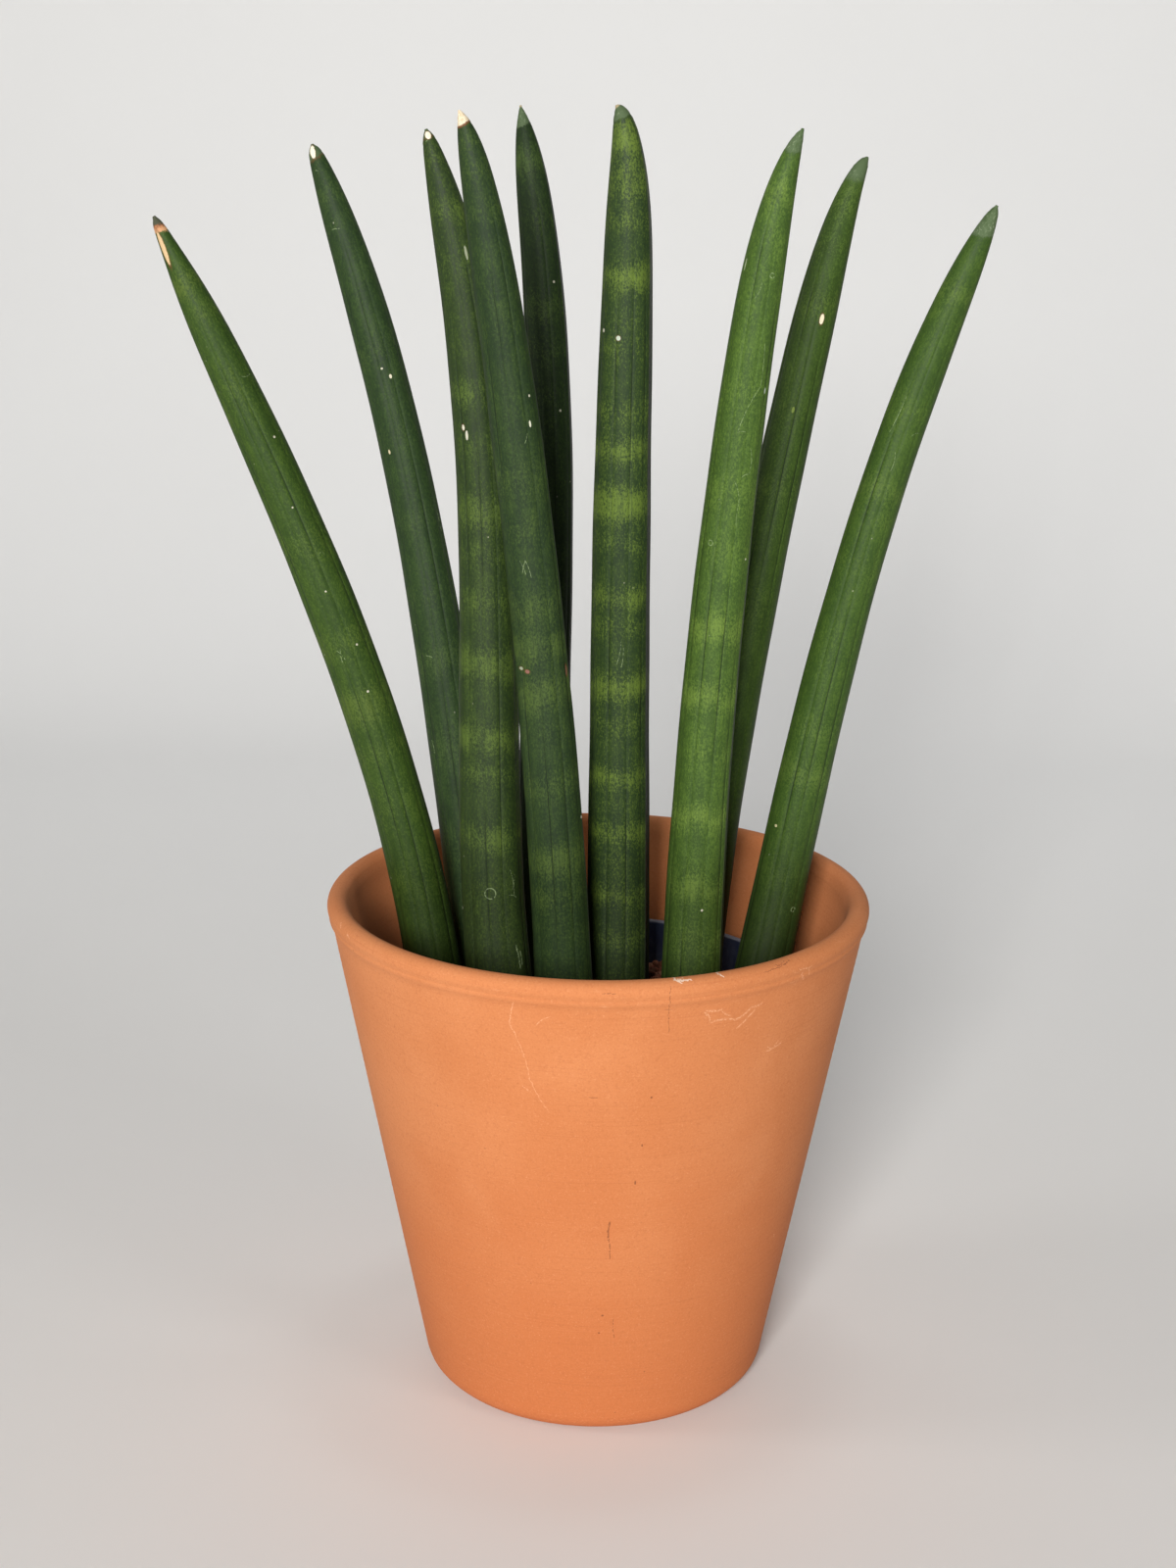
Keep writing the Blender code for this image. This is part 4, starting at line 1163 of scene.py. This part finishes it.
def tip_colour(skin, colour, look, to_tip, rough, cloud, angle):
    """Lay the hard tip over the skin: a grey cap, a dry crust, a scarred or a burnt point."""
    tilt = ((angle + 60.0) / DEGREES).math("SINE", (angle + 60.0) / DEGREES)
    wobble = 0.5 if look.tip == "dry" else 1.6
    edge = to_tip + rough * wobble + tilt * (look.cap * 0.12)
    cap = edge.rise(look.cap + CAP_EDGES.get(look.tip, 0.2), look.cap - 0.5)
    line = edge.rise(look.cap + 0.5, look.cap + 0.1) * edge.rise(look.cap - 0.4, look.cap)
    if look.tip in ("grey", "soft", "blotched"):
        colour = skin.mix(cap * 0.85, colour, skin.mix(rough.rise(0.05, 0.4), CAP_GREY, CAP_PALE))
        if look.tip == "blotched":
            blotch = (cloud * 3.0 + rough * 0.4 + tilt * 0.2).rise(0.0, 0.35) * to_tip.rise(1.5, 3.5) * cap
            colour = skin.mix(blotch * 0.85, colour, CAP_PALE)
            hollow = (cloud * 3.0 + rough * 0.4).rise(-0.15, -0.5)
            colour = skin.mix(hollow * cap * 0.6, colour, look.deep)
        colour = skin.mix(line * (0.2 if look.tip == "soft" else 0.7), colour, look.deep)
        if look.tip == "grey":
            colour = skin.mix(to_tip.rise(0.7, 0.3) * 0.6, colour, CAP_DRY)
        return colour, cap
    if look.tip == "dry":
        colour = skin.mix(cap, colour, skin.mix(rough.rise(-0.2, 0.2), CAP_DRY, CAP_CREAM))
        return skin.mix(line * 0.9, colour, CAP_BROWN), cap
    if look.tip == "scarred":
        colour = skin.mix(cap * 0.7, colour, CAP_GREY)
        return skin.mix(line * 0.5, colour, CAP_BROWN), cap
    slanted = edge - tilt * 0.7
    colour = skin.mix(slanted.rise(look.cap, look.cap - 0.8), colour, BURNT_POINT)
    ring = slanted.rise(look.cap + 0.9, look.cap + 0.4) * slanted.rise(look.cap - 1.6, look.cap - 0.9)
    colour = skin.mix(ring, colour, BURNT_RING)
    dark_edge = slanted.rise(look.cap - 0.5, look.cap - 0.9) * slanted.rise(look.cap - 2.0, look.cap - 1.3)
    return skin.mix(dark_edge * 0.6, colour, BURNT_EDGE), cap


print("tips:", sorted({look.tip for look in LOOKS.values()}))

# %% Build the nine leaves
for leaf in LEAVES:
    look = LOOKS[leaf.node]
    points, values = leaf_points(leaf, look, BANDS[leaf.node])
    blade = ring_mesh(leaf.node + "_grown", points, values=values)
    dress(blade, leaf_finish(leaf, look), leaf.node)

# %% [markdown]
# ## The substrate
#
# The plant sits in baked clay granules, each a knobbly lump of 2 to 4 mm, all about the same red-brown
# and a little dusty. Because some of them are close to the camera and the whole top shows from above,
# they are real lumps and not a bumpy picture: a few shapes are made by pushing the points of a small ball
# in and out, and many turned and scaled copies are laid over a rough bed and joined in one mesh.

# %% Scatter the granules
bed_low, bed_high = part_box("substrate")
BED_TOP = 118.6
GRANULE_TOP = bed_high[2] / MM
GRANULE_SIZES = (1.15, 2.1)
GRANULE_STEP = 2.5
GRANULE_SHAPES = 10
GRANULE_LAYERS = (0.4, 2.2)
ROW_RATIO = 0.866
LEFT_OUT_ABOVE = 0.45
BED_GAP = 0.3
BED_TINT = 0.3
BED_SIDES = 144
BED_TOP_RINGS = 40


def lump(rng):
    """One granule: a small ball whose points are pushed in and out."""
    bm = bmesh.new()
    bmesh.ops.create_icosphere(bm, subdivisions=2, radius=1.0)
    points = np.array([vert.co[:] for vert in bm.verts])
    faces = [[vert.index for vert in face.verts] for face in bm.faces]
    bm.free()
    pushes = rng.normal(size=(5, 3))
    pushes /= np.linalg.norm(pushes, axis=1)[:, None]
    for push in pushes:
        flat = np.clip(points @ push - rng.uniform(0.45, 0.8), 0, None)
        points -= flat[:, None] * push * 0.85
    points *= 1 + rng.normal(scale=0.035, size=(len(points), 1))
    return points * rng.uniform(0.78, 1.2, size=3), np.array(faces)


def leaf_section_at(z):
    """Centre and radius of every leaf at a height, to keep the granules out of them."""
    sections = []
    for leaf in LEAVES:
        centres, radii, _ = leaf_line(leaf)
        nearest = int(np.argmin(np.abs(centres[:, 2] - z)))
        sections.append((centres[nearest, :2], float(radii[nearest])))
    return sections


def random_turn(rng):
    q = rng.normal(size=4)
    w, x, y, z = q / np.linalg.norm(q)
    return np.array([[1 - 2 * (y * y + z * z), 2 * (x * y - z * w), 2 * (x * z + y * w)],
                     [2 * (x * y + z * w), 1 - 2 * (x * x + z * z), 2 * (y * z - x * w)],
                     [2 * (x * z - y * w), 2 * (y * z + x * w), 1 - 2 * (x * x + y * y)]])


def scatter_granules():
    """Points, triangles and tints of all the granules, in two loose layers between the leaves."""
    rng = np.random.default_rng(5)
    shapes = [lump(rng) for _ in range(GRANULE_SHAPES)]
    sections = leaf_section_at(BED_TOP + 3)
    reach = nursery_inner_radius(BED_TOP) - BED_GAP
    vertices, faces, tints = [], [], []
    count = 0
    steps = int(reach / GRANULE_STEP) + 1
    for layer, lift in enumerate(GRANULE_LAYERS):
        for row in range(-steps, steps + 1):
            for column in range(-steps, steps + 1):
                if layer == 1 and rng.uniform() < LEFT_OUT_ABOVE:
                    continue
                spot = np.array([column + 0.5 * (row % 2), row * ROW_RATIO]) * GRANULE_STEP
                spot = spot + rng.uniform(-0.8, 0.8, 2)
                size = rng.uniform(*GRANULE_SIZES)
                free = all(np.linalg.norm(spot - middle) > radius + size * 0.8
                           for middle, radius in sections)
                if np.linalg.norm(spot) + size * 1.1 > reach or not free:
                    continue
                points, triangles = shapes[int(rng.integers(GRANULE_SHAPES))]
                height = BED_TOP + lift + rng.uniform(-0.5, 0.5)
                height = min(height, GRANULE_TOP - 1.25 * size)
                placed = points @ random_turn(rng).T * size + [spot[0], spot[1], height]
                faces.append(triangles + count)
                count += len(points)
                vertices.append(placed)
                tints.append(np.full(len(points), rng.uniform()))
    return np.vstack(vertices), np.vstack(faces), np.concatenate(tints)


def bed_points():
    """The bed under the granules: a closed tub-shaped solid with a rough top."""
    rng = np.random.default_rng(8)
    bottom = bed_low[2] / MM
    top_edge = (nursery_inner_radius(BED_TOP) - BED_GAP, BED_TOP)
    bottom_edge = (nursery_inner_radius(bottom) - BED_GAP, bottom)
    profile = np.vstack([run((0.0, BED_TOP), top_edge, BED_TOP_RINGS), [top_edge],
                         run(top_edge, bottom_edge, 12), [bottom_edge], run(bottom_edge, (0.0, bottom), 4)])
    points = spin(profile, BED_SIDES)
    top = points[:BED_TOP_RINGS, :, 2]
    top += rng.uniform(-0.5, 0.5, size=top.shape)
    return points[:, ::-1]


def join_substrate():
    """Granules and bed as one mesh with one tint for each granule."""
    points, triangles, tints = scatter_granules()
    bed = ring_mesh("substrate_granules", bed_points())
    bm = bmesh.new()
    bm.from_mesh(bed.data)
    tint = bm.verts.layers.float.new("tint")
    for vert in bm.verts:
        vert[tint] = BED_TINT
    start = len(bm.verts)
    for co, value in zip(points * MM, tints):
        bm.verts.new(co)[tint] = value
    bm.verts.ensure_lookup_table()
    for a, b, c in triangles:
        bm.faces.new((bm.verts[start + a], bm.verts[start + b], bm.verts[start + c]))
    bm.to_mesh(bed.data)
    bm.free()
    bed.data.shade_smooth()
    return bed


substrate = join_substrate()
print("substrate:", len(substrate.data.polygons), "faces")

# %% Finish of the granules
GRANULE_RED = (0.22, 0.075, 0.038)
GRANULE_BROWN = (0.12, 0.048, 0.028)
GRANULE_TAN = (0.36, 0.17, 0.10)
GRANULE_PORE = (0.05, 0.02, 0.012)


def granule_finish():
    grit = Finish("baked granules")
    place = grit.place()
    tint = grit.attribute("tint")
    pores = grit.noise(place, 1.9, 4.0, 0.65)
    dusting = grit.noise(place, 0.55, 3.0, 0.6)
    colour = grit.mix(tint.rise(0.0, 0.55), GRANULE_BROWN, GRANULE_RED)
    colour = grit.mix(tint.rise(0.6, 1.0) * 0.8, colour, GRANULE_TAN)
    colour = grit.mix(pores.rise(0.5, 0.3) * 0.6, colour, GRANULE_PORE)
    colour = grit.mix(dusting.rise(0.55, 0.75) * 0.35, colour, GRANULE_TAN)
    return grit.surface(Base_Color=colour, Roughness=0.86 + pores * 0.1, Normal=grit.bump(pores, 0.35),
                        Specular_IOR_Level=0.25)


dress(substrate, granule_finish(), "substrate")

# %% [markdown]
# ## The rhizome
#
# Under the granules the leaves grow from an orange-tan rhizome. Nobody sees it unless the pot is emptied,
# so its CAD shape is kept, and it only gets a finish: ringed with old leaf scars, fibrous, and stained by
# the granules.

# %% Finish of the rhizome
ROOT_TAN = (0.50, 0.27, 0.10)
ROOT_PALE = (0.68, 0.46, 0.22)


def rhizome_finish():
    stock = Finish("rhizome skin")
    place = stock.place()
    rings = stock.noise(stock.stretch(place, (0.9, 0.05, 0.9)), 1.0, 4.0, 0.6)
    stains = stock.noise(place, 0.16, 3.0, 0.6)
    colour = stock.mix(rings.rise(0.4, 0.65), ROOT_TAN, ROOT_PALE)
    colour = stock.mix(stains.rise(0.5, 0.7) * 0.6, colour, GRANULE_BROWN)
    return stock.surface(Base_Color=colour, Roughness=0.6 + stains * 0.25, Normal=stock.bump(rings, 0.3))


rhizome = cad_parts["rhizome"]
rhizome.data.materials.clear()
rhizome.data.materials.append(rhizome_finish())
print("rhizome: CAD shape with its own finish")

# %% [markdown]
# ## Floor, backdrop and light
#
# The floor is plain and pale, and it curves up behind the object so that no edge shows. The light is
# soft, as from a window in front and a little to the left: one square area lamp does that. Two weak lamps
# fill from the left and the right, a wide spot washes the sweep behind, and an even pale sky keeps the
# shadows open.

# %% A pale floor that sweeps up behind
SWEEP_WIDTH = 3.2
SWEEP_FRONT = -1.6
SWEEP_BACK = 0.75
SWEEP_ROUND = 0.5
SWEEP_TOP = 2.6
PAPER_NEAR = ((0.78, 0.77, 0.755), (0.81, 0.80, 0.79))
PAPER_FAR = ((0.84, 0.84, 0.835), (0.87, 0.87, 0.865))


def sweep_points():
    """Points (y, z) of the sweep, from the front of the floor up to the top of the wall."""
    bend = [(SWEEP_BACK + SWEEP_ROUND * math.sin(a), SWEEP_ROUND - SWEEP_ROUND * math.cos(a))
            for a in np.linspace(0, math.pi / 2, 24)]
    return [(SWEEP_FRONT, 0.0)] + bend + [(SWEEP_BACK + SWEEP_ROUND, SWEEP_TOP)]


def floor_finish():
    paper = Finish("pale paper")
    place = paper.place()
    _, depth, _ = paper.split(place)
    mottle = paper.noise(place, 0.004, 2.0)
    near = paper.mix(mottle, *PAPER_NEAR)
    far = paper.mix(mottle, *PAPER_FAR)
    colour = paper.mix(depth.rise(0.0, 800.0), near, far)
    return paper.surface(Base_Color=colour, Roughness=0.8, Specular_IOR_Level=0.2)


line = sweep_points()
floor_mesh = bpy.data.meshes.new("floor")
corners = [(side * SWEEP_WIDTH / 2, y, z) for y, z in line for side in (-1, 1)]
quads = [(2 * i, 2 * i + 1, 2 * i + 3, 2 * i + 2) for i in range(len(line) - 1)]
floor_mesh.from_pydata(corners, [], quads)
floor_mesh.shade_smooth()
floor = add_piece("floor", floor_mesh)
floor.data.materials.append(floor_finish())
print("floor and backdrop:", len(quads), "faces")

# %% Lamps and sky
LIT_PLACE = (0.0, 0.0, 0.22)
DAYLIGHT = (1.0, 0.985, 0.96)
SKY_COLOUR = (0.88, 0.89, 0.90, 1.0)
SKY_STRENGTH = 0.11


def window_lamp(name, place, side, power):
    """A square lamp that looks at the middle of the object."""
    data = bpy.data.lights.new(name, "AREA")
    data.shape = "RECTANGLE"
    data.size = side
    data.size_y = side
    data.energy = power
    data.color = DAYLIGHT
    return aim_lamp(name, data, place, LIT_PLACE)


def wall_lamp(name, place, target, cone_degrees, power):
    """A soft spot that lights only the sweep, because the plant stands outside its cone."""
    data = bpy.data.lights.new(name, "SPOT")
    data.spot_size = math.radians(cone_degrees)
    data.spot_blend = 1.0
    data.shadow_soft_size = 0.2
    data.energy = power
    return aim_lamp(name, data, place, target)


def aim_lamp(name, data, place, target):
    lamp = bpy.data.objects.new(name, data)
    bpy.context.scene.collection.objects.link(lamp)
    lamp.location = place
    lamp.rotation_euler = (Vector(target) - Vector(place)).to_track_quat("-Z", "Y").to_euler()
    return lamp


window_lamp("window", (-0.36, -2.01, 0.885), 0.50, 48.0)
window_lamp("left_fill", (-2.00, -0.28, 0.955), 0.50, 6.0)
window_lamp("right_fill", (1.57, -1.31, 0.885), 0.55, 5.0)
wall_lamp("wall_wash", (0.15, 0.2, 2.3), (0.45, 1.05, 0.5), 82.0, 43.0)

world = bpy.data.worlds.new("pale sky")
world.use_nodes = True
background = world.node_tree.nodes["Background"]
background.inputs["Color"].default_value = SKY_COLOUR
background.inputs["Strength"].default_value = SKY_STRENGTH
bpy.context.scene.world = world
bpy.context.scene.view_settings.view_transform = "Standard"
bpy.context.scene.view_settings.look = "None"
print("lamps:", sorted(light.name for light in bpy.data.lights))
